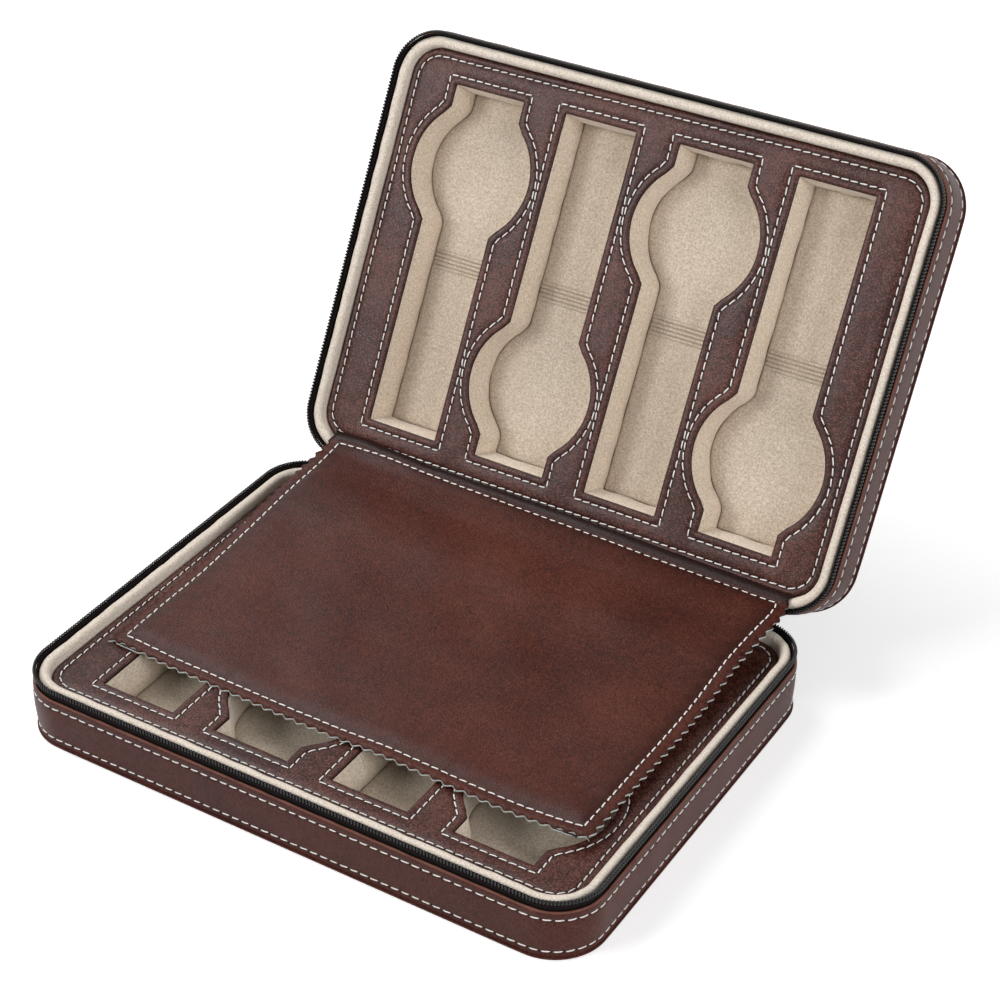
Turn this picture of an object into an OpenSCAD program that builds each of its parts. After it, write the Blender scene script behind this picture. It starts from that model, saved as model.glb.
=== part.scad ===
// Zippered travel case for eight watches.
// Two equal trays hang on one fold line. Each holds a foam insert with four lined wells under a
// leatherette face, and a padded flap lies between the two trays.
//
// Frame: +Z up, +X along the fold line, -Y towards the front. The origin is the centre of the
// lower tray's underside. Every tray piece is drawn in the tray frame: its origin is on the fold
// line, -Y runs to the front edge and Z = 0 is the plane in which the two closed trays meet.

/* [Case] */
// Width along the fold line
case_w = 258; // [252:1:300]
// Depth from the fold line to the front
case_d = 193.2; // [190:0.2:240]
// Height of one tray
half_h = 28.5; // [27:0.5:40]
// Corner radius in plan
corner_r = 22; // [16:1:30]
// Angle between the trays, 0 when closed
lid_open = 118.4; // [20:0.1:180]

/* [Wells] */
// Wells side by side in each tray
well_count = 4; // [1:1:4]
// Distance from one well to the next
well_pitch = 54; // [50:1:60]
// Width of the strap channel
channel_w = 33.7; // [26:0.1:38]
// Length of the strap channel
channel_l = 149.4; // [130:0.2:156]
// Diameter of the round place for the watch head
head_d = 57.8; // [48:0.2:62]
// Distance from the head's centre to the nearer end of its channel
head_from_end = 34.2; // [31:0.1:60]
// Thickness of the velvet in the wells
lining_t = 1; // [0.6:0.1:1.5]
// Thickness of the loose pad on a well's floor
pad_t = 0.8; // [0.5:0.1:1.5]
// Pleats across the middle of each pad
pleat_count = 5; // [1:1:7]

/* [Shell] */
// Thickness of the leatherette
leather_t = 1.2; // [0.8:0.1:1.6]
// Thickness of the board behind the outer panel
board_t = 2; // [1.5:0.1:3]
// How far the outer panel stands out past the side band
panel_overhang = 0.6; // [0.3:0.1:1]
// Depth of the turned-in fold along the band's upper edge
band_fold = 4; // [3:0.5:6]
// How far the face lies below the closing plane
face_drop = 6; // [5:0.5:8]
// Width of the velvet roll between face and zip
roll_w = 4.7; // [4:0.1:6]

/* [Zip] */
// Height of the coil
coil_h = 3.5; // [2.5:0.1:4]
// Depth of the coil across the tape
coil_t = 2; // [1.5:0.1:2.5]
// Tooth pitch
tooth_pitch = 1.42; // [1.2:0.01:3]
// Thickness of the tape
tape_t = 0.6; // [0.4:0.1:0.8]
// Length of a slider
slider_l = 10; // [9:0.5:11]
// Width of a slider at its mouth
slider_w = 9.4; // [9.4:0.05:9.5]
// Thickness of a slider's plates
slider_plate_t = 0.9; // [0.6:0.1:1]
// Width of a slider's pull
pull_w = 5; // [3:0.5:6]

/* [Flap] */
// Width of the flap over its pinked edges
flap_w = 224; // [200:1:230]
// Reach of the flap from the fold line
flap_reach = 154; // [120:1:170]
// Height of the flap's underside where it arches behind the wells
flap_arch = 2.6; // [-1:0.2:3]
// Gap between the flap's front edge and the face under it
flap_front_gap = 2.4; // [0.2:0.2:4]
// Thickness of the padding sewn inside the flap
flap_pad_t = 1.2; // [0.8:0.1:1.6]
// Distance from the pinked edge to the stitch line
flap_seam = 6; // [5:0.5:8]
// Pitch of the pinked edge
pink_pitch = 5.4; // [3:0.1:8]

/* [Hidden] */
$fn = 64;

HALVES = ["base", "lid"];
HALF_PIECES = ["outer_panel", "panel_board", "side_band", "side_board", "zip_tape", "zip_coil",
    "rim_board", "rim_velvet", "foam_insert", "face_leather", "spine_strip"];
WELL_PIECES = ["well_lining", "well_pad"];
LOOSE_PIECES = ["fold_bead", "flap_face", "flap_padding", "flap_backing", "flap_hem",
    "left_slider", "right_slider", "left_pull", "right_pull"];

// Colours
leather_c = [0.31, 0.19, 0.165];
face_c = [0.36, 0.26, 0.245];
velvet_c = [0.80, 0.73, 0.64];
board_c = [0.55, 0.50, 0.42];
foam_c = [0.72, 0.70, 0.66];
zip_c = [0.06, 0.06, 0.065];
suede_c = [0.36, 0.37, 0.33];
metal_c = [0.45, 0.44, 0.42];

// Heights in the tray frame
panel_z = -half_h;                        // underside
board_z = panel_z + leather_t;            // board on the outer panel
floor_z = board_z + board_t;              // foam, linings and walls stand here
face_z = -face_drop;                      // top of the leatherette face
foam_top_z = face_z - leather_t;
closing_gap = 0.3;                        // coil top below the closing plane
roll_top_z = -1.3;
fold_top_z = -5.8;                        // upper edge of the side band
tape_foot_z = -13;
tape_top_z = -0.8;
tape_gap = 0.2;                           // below the tape's foot
velvet_foot_z = -12;

// Insets from the plan outline, from the outside in
back_gap = 0.2;                           // tray's back face to the fold line
band_in = panel_overhang;
fold_in = band_in + leather_t;
tape_in = fold_in + leather_t;
coil_in = tape_in - coil_t;
roll_in = tape_in + tape_t + 0.1;
roll_skin = 1;
core_gap = 0.4;                           // between the rim board and the roll's hollow
side_board_t = 1.6;
face_in = roll_in + roll_w + 0.1;

// Fold line, sliders and flap
hinge_y = back_gap + case_d / 2;
bead_r = 1.4;
turn_gap = 0.1;                           // clearance round the bead
spine_half_w = 96;
slider_x = spine_half_w + 1.5;            // slider's inner end
relief_r = 6.9;                           // room in which a slider stands
base_chain_end = slider_x + 1.5;          // lower chain runs into the slider
lid_chain_end = slider_x + slider_l + 0.3;
suede_t = 0.5;
skin_t = 0.7;                             // the flap's leatherette
tongue_half_w = 95;
tongue_start = bead_r + turn_gap;
tongue_b = 7.2;                           // the flap is narrow up to here
hem_reach = 11.5;
hem_t = 1;
pad_start = 16;                           // the flap's padding begins here
crest_start = 24;                         // the flap's arch, from and to here
crest_end = 36;
pin_r = 0.45;                             // pull's pin
pin_gap = 0.05;
pin_x = 1.6;                              // from the slider's inner end
pin_b = -0.7;                             // behind the fold line

well_mid_y = -(back_gap + case_d / 2);
head_offset = channel_l / 2 - head_from_end;

// ---------- plan shapes ----------

module rounded_rect(w, d, r) {
    square([w, d - 2 * r], center = true);
    square([w - 2 * r, d], center = true);
    for (x = [-1, 1], y = [-1, 1])
        translate([x * (w / 2 - r), y * (d / 2 - r)])
            circle(r);
}

// The tray's outline, drawn in by inset
module tray_plan(inset) {
    translate([0, well_mid_y])
        rounded_rect(case_w - 2 * inset, case_d - 2 * inset, corner_r - inset);
}

module slab(inset, z0, z1) {
    translate([0, 0, z0])
        linear_extrude(z1 - z0)
            tray_plan(inset);
}

// One well: a strap channel and a round head place, with its four inner corners cut across
module well_shape(toward_front, grow = 0) {
    half_w = channel_w / 2 + grow;
    r = head_d / 2 + grow;
    cut_angle = 33;                       // where a corner cut reaches the round
    cut_x = (r - 0.3) * cos(cut_angle);
    cut_y = (r - 0.3) * sin(cut_angle);
    meet = (r + 0.6) * sqrt(2) - half_w;
    square([2 * half_w, channel_l + 2 * grow], center = true);
    translate([0, (toward_front ? -1 : 1) * head_offset]) {
        circle(r);
        polygon([[half_w, meet], [cut_x, cut_y], [cut_x, -cut_y], [half_w, -meet],
            [-half_w, -meet], [-cut_x, -cut_y], [-cut_x, cut_y], [-half_w, meet]]);
    }
}

// Puts a well shape at place i, counted from -X; the head places alternate
module at_well(i) {
    translate([(i - (well_count + 1) / 2) * well_pitch, well_mid_y])
        children();
}

function head_at_front(i) = i % 2 == 0;

module all_wells(grow) {
    for (i = [1:well_count])
        at_well(i)
            well_shape(head_at_front(i), grow);
}

// ---------- profiles carried round the tray ----------

// Carries a profile round the whole outline. In the profile x is the inset and y the height.
module around_tray() {
    straight_x = case_w - 2 * corner_r;
    straight_y = case_d - 2 * corner_r;
    translate([0, well_mid_y]) {
        for (turn = [0, 180]) {
            rotate([0, 0, turn]) {
                translate([case_w / 2 - corner_r, case_d / 2 - corner_r])
                    rotate_extrude(angle = 90)
                        translate([corner_r, 0]) mirror([1, 0]) children();
                translate([-case_w / 2 + corner_r, case_d / 2 - corner_r])
                    rotate([0, 0, 90])
                        rotate_extrude(angle = 90)
                            translate([corner_r, 0]) mirror([1, 0]) children();
                translate([-straight_x / 2, case_d / 2])
                    rotate([90, 0, 90])
                        linear_extrude(straight_x)
                            mirror([1, 0]) children();
                translate([case_w / 2, straight_y / 2])
                    rotate([90, 0, 0])
                        linear_extrude(straight_y)
                            mirror([1, 0]) children();
            }
        }
    }
}

module box_2d(x0, x1, y0, y1) {
    translate([x0, y0])
        square([x1 - x0, y1 - y0]);
}

// The room about the fold line in which the two sliders stand
module slider_relief() {
    for (side = [-1, 1])
        translate([side * (slider_x + slider_l / 2), 0, 0])
            rotate([0, 90, 0])
                cylinder(r = relief_r, h = slider_l + 1.4, center = true);
}

// The stretch of the back wall between the two chain ends
module back_stretch(half_w) {
    translate([-half_w, -roll_in - 1, -half_h])
        cube([2 * half_w, roll_in + 2, half_h + 1]);
}

// ---------- tray pieces ----------

module outer_panel() {
    color(leather_c)
        slab(0, panel_z, board_z);
}

module panel_board() {
    color(board_c)
        slab(fold_in, board_z, floor_z);
}

// Leatherette wall whose upper edge is turned in
module side_band() {
    color(leather_c)
        difference() {
            around_tray() {
                box_2d(band_in, fold_in, board_z, fold_top_z - leather_t);
                box_2d(fold_in, tape_in, fold_top_z - band_fold, fold_top_z - leather_t);
                translate([fold_in, fold_top_z - leather_t])
                    circle(leather_t);
            }
            slider_relief();
        }
}

module side_board() {
    color(board_c)
        linear_extrude_between(floor_z, tape_foot_z - tape_gap)
            difference() {
                tray_plan(fold_in);
                tray_plan(fold_in + side_board_t);
            }
}

module linear_extrude_between(z0, z1) {
    translate([0, 0, z0])
        linear_extrude(z1 - z0)
            children();
}

module zip_tape(chain_end) {
    color(zip_c)
        difference() {
            linear_extrude_between(tape_foot_z, tape_top_z)
                difference() {
                    tray_plan(tape_in);
                    tray_plan(tape_in + tape_t);
                }
            back_stretch(chain_end);
        }
}

// Point at distance s along the outline from the middle of its back edge, drawn in by inset.
// The stretches are: half back, corner, side, corner, half front. x is positive on this half.
function half_track(s, inset) =
    let (r = corner_r,
        hx = case_w / 2,
        hy = case_d / 2,
        arc = r * PI / 2,
        s1 = hx - r,
        s2 = s1 + arc,
        s3 = s2 + case_d - 2 * r,
        s4 = s3 + arc)
    s < s1 ? [s, hy - inset] :
    s < s2 ? let (a = 90 - (s - s1) / r * 180 / PI)
        [hx - r + (r - inset) * cos(a), hy - r + (r - inset) * sin(a)] :
    s < s3 ? [hx - inset, hy - r - (s - s2)] :
    s < s4 ? let (a = -(s - s3) / r * 180 / PI)
        [hx - r + (r - inset) * cos(a), -(hy - r) + (r - inset) * sin(a)] :
    [hx - r - (s - s4), -(hy - inset)];

half_len = (case_w - 2 * corner_r) + PI * corner_r + case_d - 2 * corner_r;
function track(s, inset) =
    s <= half_len ? half_track(s, inset)
    : let (p = half_track(2 * half_len - s, inset)) [-p[0], p[1]];

// Ribbed coil: its outline is a run of teeth outside and a smooth line inside
module zip_coil(chain_end) {
    run = 2 * half_len - 2 * chain_end;
    teeth = floor(run / tooth_pitch);
    step = run / teeth;
    groove = 0.5;
    outer = [for (i = [0:2 * teeth])
        track(chain_end + i * step / 2, i % 2 == 0 ? coil_in + groove : coil_in)];
    inner = [for (i = [teeth:-4:0]) track(chain_end + i * step, tape_in + tape_t)];
    color(zip_c)
        linear_extrude_between(-closing_gap - coil_h, -closing_gap)
            difference() {
                translate([0, well_mid_y])
                    polygon(concat(outer, inner, [track(chain_end, tape_in + tape_t)]));
                tray_plan(tape_in);
            }
}

// Inner wall board that the velvet is wrapped over
module rim_board() {
    color(board_c)
        difference() {
            linear_extrude_between(floor_z, roll_top_z - roll_w / 2 - core_gap)
                difference() {
                    tray_plan(roll_in + roll_skin);
                    tray_plan(roll_in + roll_w - roll_skin);
                }
            slider_relief();
        }
}

module rim_velvet() {
    crown_z = roll_top_z - roll_w / 2;
    color(velvet_c)
        difference() {
            around_tray()
                difference() {
                    union() {
                        box_2d(roll_in, roll_in + roll_w, velvet_foot_z, crown_z);
                        translate([roll_in + roll_w / 2, crown_z])
                            circle(roll_w / 2);
                    }
                    box_2d(roll_in + roll_skin, roll_in + roll_w - roll_skin,
                        velvet_foot_z - 1, crown_z - core_gap);
                }
            slider_relief();
        }
}

module foam_insert() {
    color(foam_c)
        linear_extrude_between(floor_z, foam_top_z)
            difference() {
                tray_plan(face_in);
                all_wells(lining_t);
            }
}

module face_leather() {
    color(face_c)
        linear_extrude_between(foam_top_z, face_z)
            difference() {
                tray_plan(face_in);
                all_wells(0);
            }
}

module well_lining(i) {
    color(velvet_c)
        at_well(i) {
            linear_extrude_between(floor_z, floor_z + lining_t)
                well_shape(head_at_front(i), lining_t);
            linear_extrude_between(floor_z + lining_t, foam_top_z)
                difference() {
                    well_shape(head_at_front(i), lining_t);
                    well_shape(head_at_front(i), 0);
                }
        }
}

// Loose floor pad with a band of pleats across its middle
module well_pad(i) {
    pad_gap = 0.3;
    pleat_r = 0.6;
    pleat_pitch = 2;
    pad_z = floor_z + lining_t;
    color(velvet_c)
        at_well(i) {
            linear_extrude_between(pad_z, pad_z + pad_t)
                well_shape(head_at_front(i), -pad_gap);
            for (k = [1:pleat_count])
                translate([0, (k - (pleat_count + 1) / 2) * pleat_pitch, pad_z + pad_t])
                    rotate([0, 90, 0])
                        cylinder(r = pleat_r, h = channel_w - 2 * pad_gap, center = true);
        }
}

// Gusset from behind the band to the bead; clear is the room it leaves round the bead
module spine_strip(clear) {
    leg_out = back_gap + tape_in;
    leg_in = leg_out + tape_t;
    profile = [[leg_in, tape_foot_z], [leg_in, -5.2], [2.4, -2.9], [1.3, -1.9], [0.9, -1],
        [0.3, -1], [0.3, -2.4], [1.5, -4], [leg_out, -5.5], [leg_out, tape_foot_z]];
    color(leather_c)
        difference() {
            along_fold(spine_half_w)
                polygon(profile);
            along_fold(spine_half_w + 1)
                circle(bead_r + clear);
        }
}

// Extrudes a profile along the fold line. In the profile x is the distance towards the front.
module along_fold(half_w) {
    translate([half_w, 0, 0])
        rotate([90, 0, -90])
            linear_extrude(2 * half_w)
                children();
}

// ---------- fold line ----------

module fold_bead() {
    color(leather_c)
        along_fold(spine_half_w)
            circle(bead_r);
}

// ---------- flap ----------

// 0 up to x0, 1 from x1 on, and a smooth rise between
function rise(x, x0, x1) =
    let (u = max(0, min(1, (x - x0) / (x1 - x0)))) u * u * (3 - 2 * u);

// Height of the flap's underside at distance b from the fold line: level over the velvet roll,
// arched behind the wells and down towards the face in front
function flap_under(b) =
    let (level = roll_top_z + 0.1,
        front = face_z + flap_front_gap,
        u = max(0, (b - crest_end) / (flap_reach - crest_end)))
    level + (flap_arch - level) * rise(b, hem_reach, crest_start)
        - (flap_arch - front) * (1 - pow(1 - u, 2));

function flap_top(b) =
    flap_under(b) + suede_t + skin_t + flap_pad_t * rise(b, hem_reach, pad_start);

flap_places = concat(
    [tongue_start],
    [for (k = [0:4]) hem_reach + k * (pad_start - hem_reach) / 4],
    [for (k = [1:4]) pad_start + k * (crest_start - pad_start) / 4],
    [for (k = [0:10]) crest_end + k * (flap_reach - crest_end) / 10]);

// Sheet across the whole width, from one list of heights to another
module flap_sheet(low, high) {
    last = len(flap_places) - 1;
    along_fold(flap_w / 2)
        polygon(concat(
            [for (i = [0:last]) [flap_places[i], low[i]]],
            [for (i = [last:-1:0]) [flap_places[i], high[i]]]));
}

under_line = [for (b = flap_places) flap_under(b)];
backing_line = [for (z = under_line) z + suede_t];
padding_line = [for (z = under_line) z + suede_t + flap_pad_t];
top_line = [for (b = flap_places) flap_top(b)];

// Plan of the flap: pinked along the sides and the front, with a narrow tongue at the fold line
module flap_plan() {
    pink_depth = 1.7;
    side_teeth = floor((flap_reach - tongue_b) / pink_pitch);
    side_step = (flap_reach - tongue_b) / side_teeth;
    front_teeth = floor(flap_w / pink_pitch);
    front_step = flap_w / front_teeth;
    right = [for (i = [0:2 * side_teeth - 1])
        [flap_w / 2 - (i % 2) * pink_depth, -(tongue_b + i * side_step / 2)]];
    front = [for (i = [0:2 * front_teeth])
        [flap_w / 2 - i * front_step / 2, -(flap_reach - (i % 2) * pink_depth)]];
    left = [for (i = [2 * side_teeth - 1:-1:0]) [-right[i][0], right[i][1]]];
    polygon(concat(
        [[tongue_half_w, -tongue_start], [tongue_half_w, -tongue_b]], right, front, left,
        [[-tongue_half_w, -tongue_b], [-tongue_half_w, -tongue_start]]));
}

module flap_pad_plan() {
    half_w = flap_w / 2 - flap_seam;
    translate([-half_w, -(flap_reach - flap_seam)])
        square([2 * half_w, flap_reach - flap_seam - pad_start]);
}

// Cuts a sheet to a plan
module cut_to_plan() {
    intersection() {
        children(0);
        linear_extrude_between(-20, 20)
            children(1);
    }
}

module flap_backing() {
    color(suede_c)
        cut_to_plan() {
            flap_sheet(under_line, backing_line);
            flap_plan();
        }
}

module flap_padding() {
    color(foam_c)
        cut_to_plan() {
            flap_sheet(backing_line, padding_line);
            flap_pad_plan();
        }
}

// The face is drawn over the padding, which sits in a pocket in its underside
module flap_face() {
    color(leather_c)
        difference() {
            cut_to_plan() {
                flap_sheet(backing_line, top_line);
                flap_plan();
            }
            cut_to_plan() {
                flap_sheet([for (z = backing_line) z - 1], padding_line);
                flap_pad_plan();
            }
        }
}

// Strip by which the flap is held against the upper tray's velvet roll
module flap_hem() {
    color(leather_c)
        linear_extrude_between(roll_top_z, roll_top_z + hem_t)
            polygon([[tongue_half_w, -tongue_start], [tongue_half_w, -tongue_b],
                [flap_w / 2, -tongue_b], [flap_w / 2, -hem_reach],
                [-flap_w / 2, -hem_reach], [-flap_w / 2, -tongue_b],
                [-tongue_half_w, -tongue_b], [-tongue_half_w, -tongue_start]]);
}

// ---------- sliders ----------

// From the tail at x = 0, which is a little narrower, to the mouth at x = slider_l
module slider_plan() {
    chamfer = 1;
    tail_w = slider_w - 0.6;
    upper = [[0, tail_w / 2 - chamfer], [chamfer, tail_w / 2],
        [slider_l - chamfer, slider_w / 2], [slider_l, slider_w / 2 - chamfer]];
    lower = [for (i = [3:-1:0]) [upper[i][0], -upper[i][1]]];
    polygon(concat(upper, lower));
}

// Layer between two distances b from the fold line, towards the front; the plan is x against z
module upright_layer(b0, b1) {
    translate([0, -b0, 0])
        rotate([90, 0, 0])
            linear_extrude(b1 - b0)
                children();
}

// Two plates about the chain, joined by the divider at the mouth, with cheeks and a pin behind
module zip_slider() {
    chain_out = back_gap + coil_in;
    tape_out = back_gap + tape_in;
    chain_in = tape_out + tape_t;
    plate_out = chain_out - slider_plate_t;
    channel = slider_w - 1.8;             // between the outer plate's flanges
    flange_gap = 0.1;                     // from a flange to the tape
    divider_l = 3.5;
    divider_w = 2 * closing_gap - 0.1;
    cheek_in = 1.3;
    cheek_t = 0.7;
    cheek_l = 2;
    cheek_back = pin_b - 0.9;
    color(metal_c) {
        upright_layer(plate_out, chain_out)
            slider_plan();
        upright_layer(chain_in, chain_in + slider_plate_t)
            slider_plan();
        upright_layer(chain_out, tape_out - flange_gap)
            difference() {
                slider_plan();
                translate([-1, -channel / 2])
                    square([slider_l + 2, channel]);
            }
        upright_layer(chain_out, chain_in)
            translate([slider_l - divider_l - 0.5, -divider_w / 2])
                square([divider_l, divider_w]);
        for (side = [-1, 1])
            upright_layer(cheek_back, plate_out)
                translate([pin_x - cheek_l / 2, side * (cheek_in + cheek_t / 2) - cheek_t / 2])
                    square([cheek_l, cheek_t]);
        translate([pin_x, -pin_b, 0])
            cylinder(r = pin_r, h = 2 * cheek_in + cheek_t, center = true);
    }
}

// Short tab that turns on the slider's pin
module zip_pull() {
    eye_r = 0.9;
    eye_w = 2.4;
    tab_t = 0.9;
    neck_end = pin_x + 2.6;
    tab_start = pin_x + 1.6;
    hole_r = 1;
    color(metal_c)
        difference() {
            union() {
                translate([pin_x, -pin_b, 0])
                    cylinder(r = eye_r, h = eye_w, center = true);
                upright_layer(pin_b - tab_t / 2, pin_b + tab_t / 2) {
                    translate([pin_x, -eye_w / 2])
                        square([neck_end - pin_x, eye_w]);
                    translate([tab_start, -pull_w / 2])
                        square([slider_l - pull_w / 2 - tab_start, pull_w]);
                    translate([slider_l - pull_w / 2, 0])
                        circle(pull_w / 2);
                }
            }
            translate([pin_x, -pin_b, 0])
                cylinder(r = pin_r + pin_gap, h = eye_w + 1, center = true);
            upright_layer(pin_b - tab_t, pin_b + tab_t)
                translate([slider_l - pull_w / 2, 0])
                    circle(hole_r);
        }
}

// ---------- placing ----------

module in_base() {
    translate([0, hinge_y, half_h])
        children();
}

// The upper tray is the lower one turned about and swung up on the fold line
module in_lid() {
    translate([0, hinge_y, half_h])
        rotate([180 - lid_open, 0, 0])
            rotate([0, 0, 180])
                children();
}

module at_right_end() {
    in_base()
        translate([slider_x, 0, 0])
            children();
}

module at_left_end() {
    mirror([1, 0, 0])
        at_right_end()
            children();
}

in_base() outer_panel();  // base_outer_panel
in_lid() outer_panel();  // lid_outer_panel
in_base() panel_board();  // base_panel_board
in_lid() panel_board();  // lid_panel_board
in_base() side_band();  // base_side_band
in_lid() side_band();  // lid_side_band
in_base() side_board();  // base_side_board
in_lid() side_board();  // lid_side_board
in_base() zip_tape(base_chain_end);  // base_zip_tape
in_lid() zip_tape(lid_chain_end);  // lid_zip_tape
in_base() zip_coil(base_chain_end);  // base_zip_coil
in_lid() zip_coil(lid_chain_end);  // lid_zip_coil
in_base() rim_board();  // base_rim_board
in_lid() rim_board();  // lid_rim_board
in_base() rim_velvet();  // base_rim_velvet
in_lid() rim_velvet();  // lid_rim_velvet
in_base() foam_insert();  // base_foam_insert
in_lid() foam_insert();  // lid_foam_insert
in_base() face_leather();  // base_face_leather
in_lid() face_leather();  // lid_face_leather
in_base() spine_strip(0);  // base_spine_strip
in_lid() spine_strip(turn_gap);  // lid_spine_strip
for (i = [1:well_count]) {
    in_base() well_lining(i);
    in_lid() well_lining(i);
    in_base() well_pad(i);
    in_lid() well_pad(i);
}
in_base() fold_bead();
in_base() flap_face();
in_base() flap_padding();
in_base() flap_backing();
in_lid() flap_hem();
at_left_end() zip_slider();  // left_slider
at_right_end() zip_slider();  // right_slider
at_left_end() zip_pull();  // left_pull
at_right_end() zip_pull();  // right_pull
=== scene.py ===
import math
import bpy
import numpy as np
from mathutils import Matrix, Vector
from mathutils.geometry import delaunay_2d_cdt
from mathutils.kdtree import KDTree


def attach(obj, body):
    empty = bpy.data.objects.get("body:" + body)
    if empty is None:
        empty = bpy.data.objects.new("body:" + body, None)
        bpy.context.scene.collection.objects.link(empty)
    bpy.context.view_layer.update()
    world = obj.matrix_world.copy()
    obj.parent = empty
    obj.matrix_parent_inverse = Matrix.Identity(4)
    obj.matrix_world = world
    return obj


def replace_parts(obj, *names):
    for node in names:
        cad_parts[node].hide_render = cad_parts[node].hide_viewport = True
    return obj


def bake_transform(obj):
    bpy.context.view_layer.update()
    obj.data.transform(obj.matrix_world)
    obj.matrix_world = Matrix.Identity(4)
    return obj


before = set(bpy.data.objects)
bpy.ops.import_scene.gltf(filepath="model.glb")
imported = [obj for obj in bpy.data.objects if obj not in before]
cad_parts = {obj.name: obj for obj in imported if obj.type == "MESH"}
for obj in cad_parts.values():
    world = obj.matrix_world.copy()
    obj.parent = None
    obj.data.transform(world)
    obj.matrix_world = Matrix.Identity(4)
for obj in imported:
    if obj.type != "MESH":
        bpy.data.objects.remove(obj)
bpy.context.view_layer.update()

# Zippered travel case for eight watches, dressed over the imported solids.
# Lengths below are in millimetres in the tray frame of the CAD source: the origin is on the fold
# line, -Y runs to the tray's front edge and Z = 0 is the closing plane. place() turns them into
# metres in the row frame.

scene = bpy.context.scene

# ---------------------------------------------------------------- camera, fitted to the photo
LENS_PX, IMAGE_PX, CENTRE_PX = 2441.45, 1000, (464.06, 562.67)
EYE = Vector((0.4180, -0.6383, 0.6176))
TURN = Vector((2.1216, 0.6117, -0.3087))      # rotation vector, world to camera, Y down, Z ahead

camera_data = bpy.data.cameras.new("camera")
camera = bpy.data.objects.new("camera", camera_data)
scene.collection.objects.link(camera)
camera_data.sensor_width = 36
camera_data.lens = LENS_PX / IMAGE_PX * camera_data.sensor_width
camera_data.shift_x = (IMAGE_PX / 2 - CENTRE_PX[0]) / IMAGE_PX
camera_data.shift_y = (CENTRE_PX[1] - IMAGE_PX / 2) / IMAGE_PX
camera_data.clip_start, camera_data.clip_end = 0.01, 20
to_camera = Matrix.Rotation(TURN.length, 3, TURN.normalized())
camera.matrix_world = Matrix.Translation(EYE) @ (
    to_camera.transposed() @ Matrix.Diagonal((1, -1, -1))).to_4x4()
scene.camera = camera

# ---------------------------------------------------------------- sizes, as in the CAD source
CASE_W, CASE_D, HALF_H, CORNER_R, LID_OPEN = 258, 193.2, 28.5, 22, 118.4
WELL_COUNT, WELL_PITCH, CHANNEL_W, CHANNEL_L, HEAD_R = 4, 54, 33.7, 149.4, 28.9
HEAD_OFFSET, HEAD_CUT = CHANNEL_L / 2 - 34.2, math.radians(33)
BACK_GAP = 0.2
MID_Y = -(BACK_GAP + CASE_D / 2)
HINGE = (0, BACK_GAP + CASE_D / 2, HALF_H)
FACE_IN, FACE_Z = 8.5, -6.0
FOAM_TOP_Z = -7.2
FLOOR_Z = -24.3
SLIDER_X, SLIDER_L, RELIEF_R = 97.5, 10, 6.9
BASE_CHAIN_END, LID_CHAIN_END = SLIDER_X + 1.5, SLIDER_X + SLIDER_L + 0.3
TOOTH_PITCH = 1.42
BAND_IN = 1.25                                # band's face, inside the plan outline
STITCH_IN = 3.5                               # stitch line to a cut edge
STITCH_SINK = 0.12                            # stitch line below the surface beside it
PITCH, BAND_PITCH = 4.15, 4.5                 # from stitch to stitch
# Gap between two stitches, and width of the thread
FACE_STITCH, BAND_STITCH, FLAP_STITCH = (0.75, 0.58), (0.8, 0.68), (0.7, 0.66)
BAND_ROWS = (-9.0, -24.5)

to_hinge = Matrix.Translation(Vector(HINGE) / 1000)
TRAY = {
    "base": to_hinge,
    "lid": to_hinge @ Matrix.Rotation(math.radians(180 - LID_OPEN), 4, "X")
    @ Matrix.Rotation(math.pi, 4, "Z"),
}
HALVES = ("base", "lid")


def place(points, half):
    m = np.array(TRAY[half])
    return np.asarray(points, float) / 1000 @ m[:3, :3].T + m[:3, 3]


# ---------------------------------------------------------------- mesh helpers
def add_mesh(name, points, faces, material, uv=None):
    """One object from points in metres in the row frame; uv is one pair for each point."""
    mesh = bpy.data.meshes.new(name)
    mesh.from_pydata(np.asarray(points).tolist(), [], [tuple(map(int, f)) for f in faces])
    mesh.polygons.foreach_set("use_smooth", [True] * len(mesh.polygons))
    if uv is not None:
        layer = mesh.uv_layers.new(name="UVMap")
        corner = np.zeros(len(mesh.loops), np.int32)
        mesh.loops.foreach_get("vertex_index", corner)
        layer.data.foreach_set("uv", np.asarray(uv, np.float32)[corner].ravel())
    mesh.materials.append(material)
    mesh.validate()
    obj = bpy.data.objects.new(name, mesh)
    scene.collection.objects.link(obj)
    return obj


def grid_faces(rows, columns, wrap_rows=False, wrap_columns=False, start=0):
    """Quads of a grid whose point (i, j) is number i * columns + j."""
    i, j = np.meshgrid(np.arange(rows - (not wrap_rows)), np.arange(columns - (not wrap_columns)),
                       indexing="ij")
    i1, j1 = (i + 1) % rows, (j + 1) % columns
    return (np.stack([i * columns + j, i * columns + j1, i1 * columns + j1, i1 * columns + j],
                     -1).reshape(-1, 4) + start)


def wave(x, seed, shortest, longest, count=9):
    """Smooth noise along x, seeded, with wavelengths between shortest and longest."""
    r = np.random.RandomState(seed)
    lengths = np.exp(r.uniform(np.log(shortest), np.log(longest), count))
    phases = r.uniform(0, 2 * np.pi, count)
    total = sum(np.sin(2 * np.pi * np.asarray(x) / l + p) for l, p in zip(lengths, phases))
    return total / math.sqrt(count)


def wave_2d(x, y, seed, shortest, longest, count=12):
    """The same over a plane."""
    r = np.random.RandomState(seed)
    total = np.zeros(np.shape(x))
    for _ in range(count):
        length = math.exp(r.uniform(math.log(shortest), math.log(longest)))
        turn, phase = r.uniform(0, 2 * np.pi, 2)
        total = total + np.sin(
            2 * np.pi * (np.asarray(x) * math.cos(turn) + np.asarray(y) * math.sin(turn)) / length
            + phase)
    return total / math.sqrt(count)


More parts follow.
